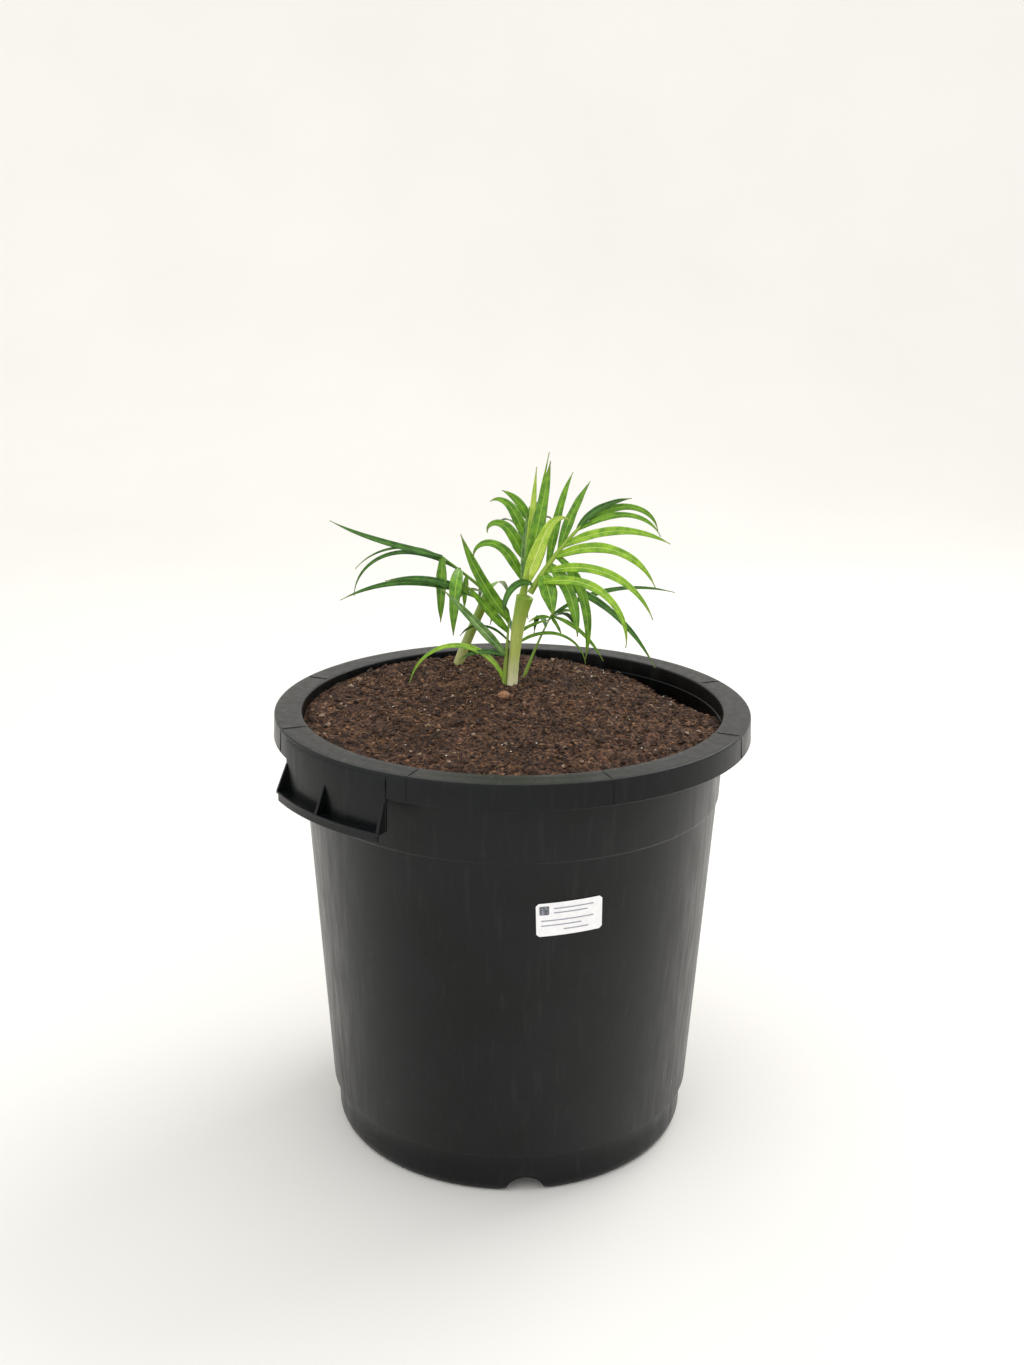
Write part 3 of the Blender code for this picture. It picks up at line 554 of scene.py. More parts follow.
def leaf_blade(name, deep, bright, line):
    """Leaflet: a waxy cuticle over parallel veins, with a pale midrib and a paler margin."""
    made, tree, shader, where = substance(name)
    spot = node(tree, "ShaderNodeSeparateXYZ", {"Vector": where.node.outputs["UV"]}).outputs
    across, along = spot["X"], spot["Y"]
    # Ten veins over the width stand about 1.2 mm apart on a blade of 12 mm
    veins = node(tree, MATHS, {0: across, 1: 63.0}, operation="MULTIPLY")
    veins = node(tree, MATHS, {0: veins}, operation="SINE")
    mottle = node(tree, NOISE, grain(where, 9 * MM, 4, 0.6))
    tone = node(tree, MATHS, {0: veins, 1: 0.16, 2: mottle}, operation="MULTIPLY_ADD")
    base = node(tree, RAMP, {"Fac": tone}, ((0.3, deep), (0.72, bright)))
    off = node(tree, MATHS, {0: across, 1: 0.5}, operation="SUBTRACT")
    off = node(tree, MATHS, {0: off}, operation="ABSOLUTE")
    midrib = node(tree, RANGE, {"Value": off, "From Min": 0.05, "From Max": 0.015, "To Max": 0.75})
    base = node(tree, MIX, {SHARE: midrib, UNDER: base, OVER: line}, data_type="RGBA")
    margin = node(tree, RANGE, {"Value": off, "From Min": 0.46, "From Max": 0.5, "To Max": 0.6})
    base = node(tree, MIX, {SHARE: margin, UNDER: base, OVER: line}, data_type="RGBA")
    tip = node(tree, RANGE, {"Value": along, "From Min": 0.86, "From Max": 1.0, "To Max": 0.65})
    base = node(tree, MIX, {SHARE: tip, UNDER: base, OVER: colour("#9a9a4a")}, data_type="RGBA")
    bump = node(tree, BUMP, {"Height": veins, "Distance": 0.18 * MM, "Strength": 0.6})
    connect(tree, shader, {"Base Color": base, "Roughness": 0.34, "Normal": bump, "IOR": 1.45,
                           "Coat Weight": 0.15, "Coat Roughness": 0.25})
    return made


def matt_paint(paint):
    """Studio floor: matt and almost white, with a faint unevenness 0.6 m across."""
    made, tree, shader, where = substance("matt_paint")
    tone = node(tree, NOISE, grain(where, 600 * MM, 2))
    base = node(tree, RAMP, {"Fac": tone}, ((0.2, colour("#f7f4ee")), (0.8, paint)))
    connect(tree, shader, {"Base Color": base, "Roughness": 0.9, "IOR": 1.5})
    return made


FINISHES = {}


def finish(name, maker, *values):
    """Material made once and used again."""
    if name not in FINISHES:
        FINISHES[name] = maker(*values)
    return FINISHES[name]


# Modelling

def begin():
    """Leave every mode and selection."""
    if bpy.context.object and bpy.context.object.mode != "OBJECT":
        bpy.ops.object.mode_set(mode="OBJECT")
    bpy.ops.object.select_all(action="DESELECT")


def pick(thing):
    """Select one object alone and make it active."""
    begin()
    thing.select_set(True)
    bpy.context.view_layer.objects.active = thing


def edit(thing):
    """Go into edit mode on one object, with all of it selected."""
    pick(thing)
    bpy.ops.object.mode_set(mode="EDIT")
    bpy.ops.mesh.select_all(action="SELECT")


def close(thing, finishes=(), smooth=40):
    """Merge, turn outwards, shade and settle a finished piece at the origin."""
    edit(thing)
    bpy.ops.mesh.remove_doubles(threshold=0.01 * MM)
    bpy.ops.mesh.normals_make_consistent(inside=False)
    bpy.ops.object.mode_set(mode="OBJECT")
    bpy.ops.object.transform_apply(location=True, rotation=True, scale=True)
    bpy.ops.object.shade_smooth_by_angle(angle=math.radians(smooth))
    thing.data.materials.clear()
    for made in finishes:
        thing.data.materials.append(made)
    begin()
    return thing


def lathe(name, outline, steps):
    """Round shell: a circle extruded and resized through each point of an outline, then filled."""
    begin()
    radius, level = outline[0]
    bpy.ops.mesh.primitive_circle_add(vertices=steps, radius=radius, location=(0, 0, level))
    thing = bpy.context.object
    thing.name = name
    bpy.ops.object.transform_apply(location=True, rotation=False, scale=False)
    edit(thing)
    for to_radius, to_level in outline[1:]:
        bpy.ops.mesh.extrude_region_move(TRANSFORM_OT_translate={"value": (0, 0, to_level - level)})
        bpy.ops.transform.resize(value=(to_radius / radius, to_radius / radius, 1),
                                 center_override=(0, 0, to_level))
        radius, level = to_radius, to_level
    bpy.ops.mesh.select_all(action="SELECT")
    bpy.ops.mesh.fill_holes(sides=0)
    return thing


def profile(name, points):
    """Many-sided flat face with its corners at given points, ready to be swept or extruded."""
    begin()
    bpy.ops.mesh.primitive_circle_add(vertices=len(points), fill_type="NGON")
    thing = bpy.context.object
    thing.name = name
    for vertex, point in zip(thing.data.vertices, points):
        vertex.co = point
    edit(thing)
    return thing


def swept(name, outline, start, end, steps=1, edge=0.0):
    """Bar bent round the pot: a profile spun between two headings, its edges bevelled."""
    thing = profile(name, [polar(radius, start, level) for radius, level in outline])
    # Spin turns clockwise as seen from above, and headings run the other way
    bpy.ops.mesh.spin(steps=steps, angle=math.radians(start - end), center=(0, 0, 0),
                      axis=(0, 0, 1))
    close(thing)
    if edge:
        bevel = thing.modifiers.new("edge", "BEVEL")
        bevel.width = edge
        bevel.segments = 2
        bevel.limit_method = "ANGLE"
        bevel.angle_limit = math.radians(35)
        pick(thing)
        bpy.ops.object.modifier_apply(modifier=bevel.name)
        begin()
    return thing


def joined(name, things):
    """Join pieces into one object."""
    begin()
    for thing in things:
        thing.select_set(True)
    bpy.context.view_layer.objects.active = things[0]
    bpy.ops.object.join()
    things[0].name = name
    begin()
    return things[0]


def copied(thing, turn):
    """Copy of a piece with its own mesh, turned round the pot by degrees."""
    copy = thing.copy()
    copy.data = thing.data.copy()
    bpy.context.scene.collection.objects.link(copy)
    copy.data.transform(Matrix.Rotation(math.radians(turn), 4, "Z"))
    return copy


def wear(thing, node_name):
    """Say what a finished piece rides on and which part it stands for, and hide that part."""
    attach(thing, "root")
    if node_name:
        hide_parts(node_name)


class Heap:
    """Many small things gathered into one mesh, with the place of each point on its blade."""

    def __init__(self):
        self.points, self.faces, self.tints, self.spots = [], [], [], []

    def add(self, points, faces, tint, spots=None):
        """Add one closed thing in one of the heap's finishes."""
        start = len(self.points)
        self.points += points
        self.faces += [[start + i for i in face] for face in faces]
        self.tints += [tint] * len(faces)
        self.spots += spots or [(0.5, 0.5)] * len(points)

    def tube(self, rings, tint, spots=None):
        """Add a closed skin through rings of points."""
        size = len(rings[0])
        faces = []
        for row in range(len(rings) - 1):
            low, high = row * size, (row + 1) * size
            for i in range(size):
                j = (i + 1) % size
                faces.append((low + i, low + j, high + j, high + i))
        faces.append(tuple(range(size)))
        faces.append(tuple((len(rings) - 1) * size + i for i in reversed(range(size))))
        self.add([point for ring in rings for point in ring], faces, tint, spots)

    def make(self, name, finishes):
        """Turn the heap into one object."""
        mesh = bpy.data.meshes.new(name)
        mesh.from_pydata(self.points, [], self.faces)
        for made in finishes:
            mesh.materials.append(made)
        mesh.polygons.foreach_set("material_index", self.tints)
        layer = mesh.uv_layers.new(name="blade")
        layer.data.foreach_set("uv", [value for loop in mesh.loops
                                      for value in self.spots[loop.vertex_index]])
        shape = bmesh.new()
        shape.from_mesh(mesh)
        bmesh.ops.recalc_face_normals(shape, faces=shape.faces)
        shape.to_mesh(mesh)
        shape.free()
        mesh.shade_smooth()
        thing = bpy.data.objects.new(name, mesh)
        bpy.context.scene.collection.objects.link(thing)
        return thing


# Pot

def pot_outline():
    """Outline from the floor's edge up the inside, over the rim, down to the foot and under it."""
    top = POT_HEIGHT
    ledge = top - LEDGE_DROP
    skirt_foot = top - SKIRT_DEPTH
    skirt_radius = RIM_RADIUS + SKIRT_FLARE
    foot_inside = FOOT_RADIUS - WALL
    step = WALL_FOOT + 2 * WALL
    inside = [(FOOT_RADIUS - 2 * WALL, FLOOR + WALL), (foot_inside, FLOOR + 2 * WALL),
              (foot_inside, WALL_FOOT), (wall_radius(step) - WALL, step),
              (WALL_TOP_RADIUS - WALL, WALL_TOP), (BAND_FOOT_RADIUS - WALL, BAND_FOOT + WALL),
              (wall_radius(ledge) - WALL, ledge - 1.4 * MM),
              (MOUTH_RADIUS - 1.1 * MM, ledge - 0.6 * MM),
              (MOUTH_RADIUS - LEDGE_WIDTH, ledge), (MOUTH_RADIUS - 0.4 * MM, ledge + MM)]
    rim = arc((MOUTH_RADIUS + MOUTH_EDGE, top - MOUTH_EDGE), MOUTH_EDGE, 180, 90, 4)
    rim += [(MOUTH_RADIUS + RIM_DISH_INSET, top - RIM_DISH),
            (RIM_RADIUS - RIM_DISH_INSET, top - RIM_DISH)]
    rim += arc((RIM_RADIUS - RIM_EDGE, top - RIM_EDGE), RIM_EDGE, 90, 0, 5)
    skirt = [(skirt_radius - 0.2 * MM, skirt_foot + 2 * MM), (skirt_radius, skirt_foot + 0.6 * MM),
             (skirt_radius - 0.5 * MM, skirt_foot), (skirt_radius - WALL + 0.6 * MM, skirt_foot),
             (skirt_radius - WALL, skirt_foot + MM), (RIM_RADIUS - WALL, top - WALL - MM),
             (RIM_RADIUS - WALL - MM, top - WALL), (BAND_TOP_RADIUS + MM, top - WALL)]
    wall = [(BAND_TOP_RADIUS, top - WALL - MM),
            (BAND_FOOT_RADIUS + 0.1 * MM, BAND_FOOT + 1.2 * MM), (BAND_FOOT_RADIUS - 0.4 * MM, BAND_FOOT),
            (WALL_TOP_RADIUS + 0.4 * MM, WALL_TOP + 0.5 * MM), (WALL_TOP_RADIUS, WALL_TOP - 0.6 * MM),
            (WALL_FOOT_RADIUS, WALL_FOOT + MM), (WALL_FOOT_RADIUS - 0.5 * MM, WALL_FOOT),
            (FOOT_RADIUS + 1.2 * MM, WALL_FOOT - 0.8 * MM),
            (FOOT_RADIUS + 0.5 * MM, WALL_FOOT - 2 * MM), (FOOT_RADIUS, 2 * FOOT_CORNER)]
    foot = [(FOOT_RADIUS - FOOT_CORNER_WIDTH * (1 - x), FOOT_CORNER * (1 + y))
            for x, y in arc((0, 0), 1, 0, -90, 8)]
    ring_inside = FOOT_RADIUS - FOOT_CORNER_WIDTH - FOOT_LIP
    under = [(ring_inside, 0), (ring_inside, WALL), (FOOT_RADIUS - 3 * WALL, 1.2 * WALL),
             (foot_inside, FOOT_CORNER + MM), (foot_inside, FLOOR), (FOOT_RADIUS - 2 * WALL, FLOOR)]
    return inside + rim + skirt + wall + foot + under


def notch_cutter(heading):
    """Arched cutter through the foot, its outline extruded outwards."""
    half = NOTCH_WIDTH / 2
    shoulder = NOTCH_CROWN / 2 + 0.12 * half
    right = [(half, -NOTCH_SPLAY), (half - NOTCH_SPLAY, NOTCH_SPLAY)]
    right += [(shoulder * x, NOTCH_HEIGHT * y) for x, y in arc((0, 0), 1, 10, 90, 10)]
    outline = right + [(-x, z) for x, z in reversed(right[:-1])]
    out, beside = polar(1, heading, 0), polar(1, heading + 90, 0)
    start = out * (FOOT_RADIUS - 24 * MM)
    cutter = profile("notch", [start + beside * x + Vector((0, 0, z)) for x, z in outline])
    bpy.ops.mesh.extrude_region_move(TRANSFORM_OT_translate={"value": out * 32 * MM})
    return close(cutter)


def take_out(body, cutter):
    """Cut a piece's space out of a body and drop the piece."""
    cut = body.modifiers.new("cut", "BOOLEAN")
    cut.operation = "DIFFERENCE"
    cut.object = cutter
    pick(body)
    bpy.ops.object.modifier_apply(modifier=cut.name)
    bpy.data.objects.remove(cutter)
    begin()


def rim_seam(turn):
    """Thin mould line over the rim and down its skirt, at the front."""
    top, skirt = POT_HEIGHT, POT_HEIGHT - SKIRT_DEPTH
    out = RIM_RADIUS + SKIRT_FLARE
    outline = [(MOUTH_RADIUS + 2 * MM, top - MM), (MOUTH_RADIUS + 3 * MM, top + 0.2 * MM),
               (RIM_RADIUS - 2 * MM, top + 0.3 * MM), (RIM_RADIUS + 0.3 * MM, top - 2 * MM),
               (out + 0.4 * MM, skirt + MM), (out - MM, skirt + MM),
               (RIM_RADIUS - 2 * MM, top - 2 * MM)]
    return swept("rim_seam", outline, -turn / 2, turn / 2)


def grip(heading):
    """Grip under the rim: apron, lip, turned-down hem and gussets."""
    top = POT_HEIGHT
    lip_top = top - LIP_DROP
    lip_foot = lip_top - LIP_THICKNESS
    inside = APRON_RADIUS - APRON_THICKNESS
    hem_radius = LIP_RADIUS - 0.2 * MM
    gusset_radius = LIP_RADIUS - 0.5 * MM
    start, end = heading - APRON_HALF, heading + APRON_HALF
    apron = [(inside, top - 6 * MM), (APRON_RADIUS - 1.2 * MM, top - 3 * MM),
             (APRON_RADIUS, top - 7 * MM), (APRON_RADIUS, lip_foot), (inside, lip_foot)]
    lip = [(inside + MM, lip_top), (LIP_RADIUS, lip_top), (LIP_RADIUS, lip_foot),
           (inside + MM, lip_foot)]
    hem = [(LIP_RADIUS - WALL, lip_top - MM), (hem_radius, lip_top - MM),
           (hem_radius, top - HEM_DROP), (LIP_RADIUS - WALL, top - HEM_DROP)]
    gusset_top = lip_top + GUSSET_HEIGHT
    gusset = [(APRON_RADIUS - MM, gusset_top), (APRON_RADIUS + 0.6 * MM, gusset_top),
              (gusset_radius, lip_top + MM), (gusset_radius, lip_top - MM),
              (APRON_RADIUS - MM, lip_top - MM)]
    things = [swept("apron", apron, start, end, GRIP_STEPS, GRIP_EDGE),
              swept("lip", lip, start + 0.2, end - 0.2, GRIP_STEPS, GRIP_EDGE),
              swept("hem", hem, heading - HEM_HALF, end - 0.4, GRIP_STEPS - 2, GRIP_EDGE)]
    for offset in GUSSET_OFFSETS:
        middle = heading + offset
        things.append(swept("gusset", gusset, middle - GUSSET_HALF, middle + GUSSET_HALF,
                            edge=GRIP_EDGE))
    return joined("grip", things)


def lug(heading):
    """Small stacking lug under the rim."""
    skirt_foot = POT_HEIGHT - SKIRT_DEPTH
    foot, high = skirt_foot - LUG_DROP, skirt_foot + LUG_SINK
    inside = wall_radius(foot) - MM
    outline = [(inside, high), (inside + LUG_TOP_REACH, high), (inside + LUG_FOOT_REACH, foot),
               (inside, foot)]
    return swept("lug", outline, heading - LUG_HALF, heading + LUG_HALF, 4, LUG_EDGE)


def wrapped(name, middle, width, height, proud, corner=0.0, columns=24):
    """Thin plate laid on the wall round a place on the label, with rounded corners."""
    begin()
    bpy.ops.mesh.primitive_grid_add(x_subdivisions=columns, y_subdivisions=1, size=1)
    plate = bpy.context.object
    plate.name = name
    for vertex in plate.data.vertices:
        across, up = vertex.co.x * width, math.copysign(height / 2, vertex.co.y)
        near = max(corner - (width / 2 - abs(across)), 0)
        up -= math.copysign(corner - math.sqrt(max(corner ** 2 - near ** 2, 0)), up)
        vertex.co = (across + middle[0], up + middle[1], 0)
    solid = plate.modifiers.new("film", "SOLIDIFY")
    solid.thickness = LABEL_FILM
    solid.offset = 1
    pick(plate)
    bpy.ops.object.modifier_apply(modifier=solid.name)
    turn = math.radians(LABEL_TURN)
    for vertex in plate.data.vertices:
        x, y, out = vertex.co
        level = LABEL_LEVEL + x * math.sin(turn) + y * math.cos(turn)
        across = x * math.cos(turn) - y * math.sin(turn)
        heading = LABEL_HEADING + math.degrees(across / wall_radius(LABEL_LEVEL))
        vertex.co = polar(wall_radius(level) + proud + out, heading, level)
    return plate


# Plant

def grow(root, length, bearing, rise, droop, bend, stations):
    """Path of a rib or leaflet: it leaves its root at its rise and turns down by its droop."""
    points = [root.copy()]
    for i in range(stations):
        share = (i + 0.5) / stations
        way = toward(bearing, rise - droop * share ** bend)
        point = points[-1] + way * (length / stations)
        if point.xy.length < MOUTH_RADIUS:
            point.z = max(point.z, soil_top(point.x, point.y) + 3 * MM)
        points.append(point)
    return points


def rib_path(rib):
    """Path of a frond's rib. A rib whose root has no level stands on its seat in the mix."""
    root, length, bearing, rise, droop, radius = rib
    if len(root) == 2:
        foot = seat_level(root) + GAP + radius * MM * math.cos(math.radians(rise))
        root = (*root, foot / MM)
    return grow(Vector(root) * MM, length * MM, bearing, rise, droop, 1, RIB_STATIONS)


def leaf_width(share, width):
    """Width of a leaflet along its length: narrow at its root, drawn out to its tip."""
    return max(width * min(1, 0.4 + 2.4 * share) * (1 - share ** 3), LEAF_TIP_WIDTH)


def blade(heap, root, sizes, thickness, tint, seed):
    """One leaflet: a folded, pleated blade with a raised midrib and slightly wavy margins."""
    length, bearing, rise, droop, bend, width, facing = sizes
    path = grow(root, length * MM, bearing, rise, droop, bend, BLADE_STATIONS)
    look = toward(-90, 90 - facing) if facing >= 0 else toward(90, 90 + facing)
    lively = random.Random(seed)
    phase, beat = lively.uniform(0, 6.3), lively.uniform(7, 12)
    cells = [2 * i / BLADE_CELLS - 1 for i in range(BLADE_CELLS + 1)]
    skins = [(u, 1) for u in cells] + [(u, -1) for u in reversed(cells[1:-1])]
    rings, spots = [], []
    for i, point in enumerate(path):
        along = (path[min(i + 1, BLADE_STATIONS)] - path[max(i - 1, 0)]).normalized()
        over = (look - along * look.dot(along)).normalized()
        across = along.cross(over)
        share = i / BLADE_STATIONS
        half = leaf_width(share, width * MM) / 2
        half *= 1 + BLADE_WOBBLE * math.sin(beat * 1.7 * share + phase)
        body = thickness / 2 * (1 - 0.5 * share ** 3)
        ring = []
        for u, side in skins:
            lift = 2 * LEAF_FOLD * half * abs(u) + BLADE_PLEAT * half * math.cos(9.4 * u)
            lift += BLADE_WAVE * half * abs(u) * math.sin(beat * share * 2 + phase + 2 * u)
            depth = body * (1 - 0.6 * u * u)
            if side < 0:
                depth += MIDRIB_HEIGHT * math.exp(-(u / MIDRIB_WIDTH) ** 2) * (1 - share)
            ring.append(point + across * (half * u) + over * (lift + side * depth))
        rings.append(ring)
        spots += [((u + 1) / 2, share) for u, _ in skins]
    heap.tube(rings, tint, spots)


def limb(heap, path, radii, tint, sides, ridges=0.0):
    """Tapering tube along a path, with the ridges of a wound leaf sheath."""
    rings, spots = [], []
    last = len(path) - 1
    side = Vector((1, 0, 0))
    for i, (point, radius) in enumerate(zip(path, radii)):
        along = (path[min(i + 1, last)] - path[max(i - 1, 0)]).normalized()
        side = (side - along * side.dot(along)).normalized()
        beside = along.cross(side)
        ring = []
        for k in range(sides):
            angle = 2 * math.pi * k / sides
            wound = (k / sides + SHEATH_TURNS * i / last) % 1
            reach = radius * (1 + ridges * (0.5 - wound + 0.25 * math.sin(SHEATH_FOLDS * angle)))
            ring.append(point + side * (reach * math.cos(angle))
                        + beside * (reach * math.sin(angle)))
        rings.append(ring)
        spots += [(0.5, 0.4 * i / last)] * sides
    heap.tube(rings, tint, spots)


def resampled(points, radii, count):
    """Smooth path through a few points, by a Catmull-Rom curve, and its radii."""
    path, sizes = [], []
    pads = [points[0], *points, points[-1]]
    for i in range(count + 1):
        place = i / count * (len(points) - 1)
        k = min(int(place), len(points) - 2)
        t = place - k
        a, b, c, d = pads[k:k + 4]
        path.append(0.5 * ((2 * b) + (c - a) * t + (2 * a - 5 * b + 4 * c - d) * t * t
                           + (3 * b - a - 3 * c + d) * t ** 3))
        sizes.append(radii[k] + (radii[k + 1] - radii[k]) * t)
    return path, sizes


def crumb(heap, place, size, tint, lively, flat):
    """Irregular bit of the mix with eight faces."""
    spin = Matrix.Rotation(lively.uniform(0, 6.3), 3, "Z")
    spin = spin @ Matrix.Rotation(lively.uniform(-0.6, 0.6), 3, "X")
    stretch = lively.uniform(0.8, 1.5)
    points = []
    for x, y, z in ((1, 0, 0), (0, 1, 0), (-1, 0, 0), (0, -1, 0), (0, 0, 1), (0, 0, -1)):
        rough = lively.uniform(0.7, 1.2) * size
        points.append(place + spin @ Vector((x * rough * stretch, y * rough, z * rough * flat)))
    faces = [(0, 1, 4), (1, 2, 4), (2, 3, 4), (3, 0, 4), (1, 0, 5), (2, 1, 5), (3, 2, 5), (0, 3, 5)]
    heap.add(points, faces, tint)


def fibre(heap, reach, lively):
    """Coir fibre that wanders over the mix and arches off it, unless the wall cuts it short."""
    place = polar((reach - 8 * MM) * math.sqrt(lively.random()), lively.uniform(0, 360), 0)
    way = lively.uniform(0, 6.3)
    path = []
    for k in range(FIBRE_POINTS):
        place = place + Vector((math.cos(way), math.sin(way), 0)) * lively.uniform(1.2, 3.4) * MM
        way += lively.uniform(-0.6, 0.6)
        if place.xy.length > reach - 2 * MM:
            break
        ground = soil_top(place.x, place.y) + max(crumb_relief(place.x, place.y), 0)
        path.append(Vector((place.x, place.y, ground + (0.8 + 1.2 * math.sin(k * 0.63)) * MM)))
    if len(path) > 2:
        limb(heap, path, [FIBRE_RADIUS] * len(path), 0, 4)


# Settings

def shade(name, description, text):
    """Colour that a user can change, its default given as a hex value."""
    return FloatVectorProperty(name=name, description=description, default=colour(text)[:3],
                               subtype="COLOR", min=0, max=1)


class PALM_PG_pot(bpy.types.PropertyGroup):
    steps: IntProperty(name="Steps", description="Sides of the turned pot", default=192, min=48)
    seam: FloatProperty(name="Mould line", description="Turn between a mould line's two sides",
                        default=math.radians(SEAM_TURN), min=0.001, subtype="ANGLE")
    plastic: shade("Plastic", "Darkest colour of the plastic", "#050708")


class PALM_PG_label(bpy.types.PropertyGroup):
    width: FloatProperty(name="Width", description="Width of the label", default=LABEL_WIDTH,
                         min=0.02, unit="LENGTH")
    height: FloatProperty(name="Height", description="Height of the label", default=LABEL_HEIGHT,
                          min=0.01, unit="LENGTH")
    paper: shade("Film", "Colour of the label's film", "#fbf9f9")


class PALM_PG_mix(bpy.types.PropertyGroup):
    crumbs: IntProperty(name="Crumbs", description="Loose crumbs on the mix", default=5200, min=0)
    fibres: IntProperty(name="Fibres", description="Coir fibres on the mix", default=420, min=0)
    relief: FloatProperty(name="Relief", description="Share of the crumbs' relief", default=1.0,
                          min=0, subtype="FACTOR")
    bark: shade("Bark", "Main brown of the potting mix", "#6a4a36")


class PALM_PG_plant(bpy.types.PropertyGroup):
    thickness: FloatProperty(name="Leaf thickness", description="Thickness of a leaflet",
                             default=LEAF_THICKNESS, min=0.0001, unit="LENGTH")
    rings: IntProperty(name="Rings", description="Rings of points up a stem", default=64, min=8)
    # Leaf tints set leaflet by leaflet: light and pale are painted light over the younger leaflets' own
    # paler green, deep is painted shade, and the last is a painted sheen
    light: shade("Light leaf", "Colour of the young leaflets", LEAF_TINTS["l"][2])
    mid: shade("Mid leaf", "Colour of most leaflets", LEAF_TINTS["m"][2])
    deep: shade("Deep leaf", "Colour of the old leaflets", LEAF_TINTS["d"][2])
    pale: shade("Pale leaf", "Colour of the leaflets that unfold", LEAF_TINTS["p"][2])
    silver: shade("Silver leaf", "Colour of the leaflets that shine", LEAF_TINTS["s"][2])


class PALM_PG_studio(bpy.types.PropertyGroup):
    light: FloatProperty(name="Key light", description="Power of the key light", default=30.0,
                         min=0, unit="POWER")
    sky: FloatProperty(name="Sky", description="Strength of the light all round", default=1.0, min=0)
    lens: FloatProperty(name="Lens", description="Focal length of the camera", default=40.57,
                        unit="CAMERA")
    paint: shade("Floor", "Colour of the studio floor", "#faf7f1")


# Operators

class PALM_OT_pot(bpy.types.Operator):
    """Build the moulded pot with its rim, skirt, drain notches and mould lines"""
    bl_idname = "palm.pot"
    bl_label = "Pot"

    def execute(self, context):
        sizes = context.scene.palm_pot
        plastic = finish("moulded_polypropylene", moulded_polypropylene, (*sizes.plastic, 1))
        shell = close(lathe("pot_shell", pot_outline(), sizes.steps), [plastic], 30)
        for heading in NOTCH_HEADINGS:
            take_out(shell, notch_cutter(heading))
        wear(shell, "pot")
        seam = rim_seam(math.degrees(sizes.seam))
        seams = [copied(seam, heading) for heading in SEAM_HEADINGS]
        bpy.data.objects.remove(seam)
        wear(close(joined("rim_seams", seams), [plastic], 30), None)
        return {"FINISHED"}


class PALM_OT_grips(bpy.types.Operator):
    """Build the two grips and the stacking lugs under the rim"""
    bl_idname = "palm.grips"
    bl_label = "Grips"

    def execute(self, context):
        sizes = context.scene.palm_pot
        plastic = finish("moulded_polypropylene", moulded_polypropylene, (*sizes.plastic, 1))
        first = grip(GRIP_HEADINGS[0])
        grips = joined("grips", [first, copied(first, GRIP_HEADINGS[1] - GRIP_HEADINGS[0])])
        wear(close(grips, [plastic], 30), None)
        lugs = joined("stacking_lugs", [lug(heading) for heading in LUG_HEADINGS])
        wear(close(lugs, [plastic], 30), None)
        return {"FINISHED"}


class PALM_OT_label(bpy.types.Operator):
    """Lay the label on the wall, with its plain box and lines"""
    bl_idname = "palm.label"
    bl_label = "Label"

    def execute(self, context):
        sizes = context.scene.palm_label
        film = wrapped("label_sheet", (0, 0), sizes.width, sizes.height, LABEL_CLEAR, LABEL_CORNER)
        close(film, [finish("label_film", label_film, (*sizes.paper, 1))])
        wear(film, "label")
        proud = LABEL_CLEAR + PRINT_PROUD
        x, y, width, height = PRINT_BOX
        box = wrapped("label_box", (x, y), width, height, proud, 0.4 * MM, 6)
        close(box, [finish("ink_black", printing_ink, "ink_black", "#1b1c20")])
        wear(box, None)
        bars = joined("label_bars", [wrapped("bar", (x, y), width, PRINT_LINE, proud, 0, 12)
                                     for x, y, width in PRINT_LINES])
        close(bars, [finish("ink_grey", printing_ink, "ink_grey", "#8e939d")])
        wear(bars, None)
        return {"FINISHED"}


class PALM_OT_mix(bpy.types.Operator):
    """Fill the pot with potting mix"""
    bl_idname = "palm.mix"
    bl_label = "Potting mix"

    def execute(self, context):
        sizes = context.scene.palm_mix
        mark = POT_HEIGHT - LEDGE_DROP - 5 * MM
        wide = inner_radius(mark) - GAP
        low = WALL_FOOT + 3 * WALL
        outline = [(wall_radius(low) - WALL - GAP, low), (wide, mark - 30 * MM)]
        outline += [(wide - (wide - 1.5 * MM) * i / MIX_RINGS, mark) for i in range(MIX_RINGS + 1)]
        mix = close(lathe("mix", outline, MIX_STEPS),
                    [finish("bark_mix", bark_mix, (*sizes.bark, 1))], 60)
        for vertex in mix.data.vertices:
            point = vertex.co
            if point.z < mark - MM:
                continue
            flat = Vector((point.x, point.y, 0))
            reach = flat.length / wide
            if reach > 0.97:
                # The outermost rings follow the pot's inside to the level of the mix
                spread = (inner_radius(soil_top(*flat.xy)) - GAP - wide) / wide
                flat *= 1 + spread * (reach - 0.97) / 0.03
            relief = crumb_relief(*flat.xy) * sizes.relief * (1 if reach < 0.99 else 0.3)
            vertex.co = (flat.x, flat.y, soil_top(*flat.xy) + relief)
        mix.data.shade_smooth()
        wear(mix, "soil")
        return {"FINISHED"}


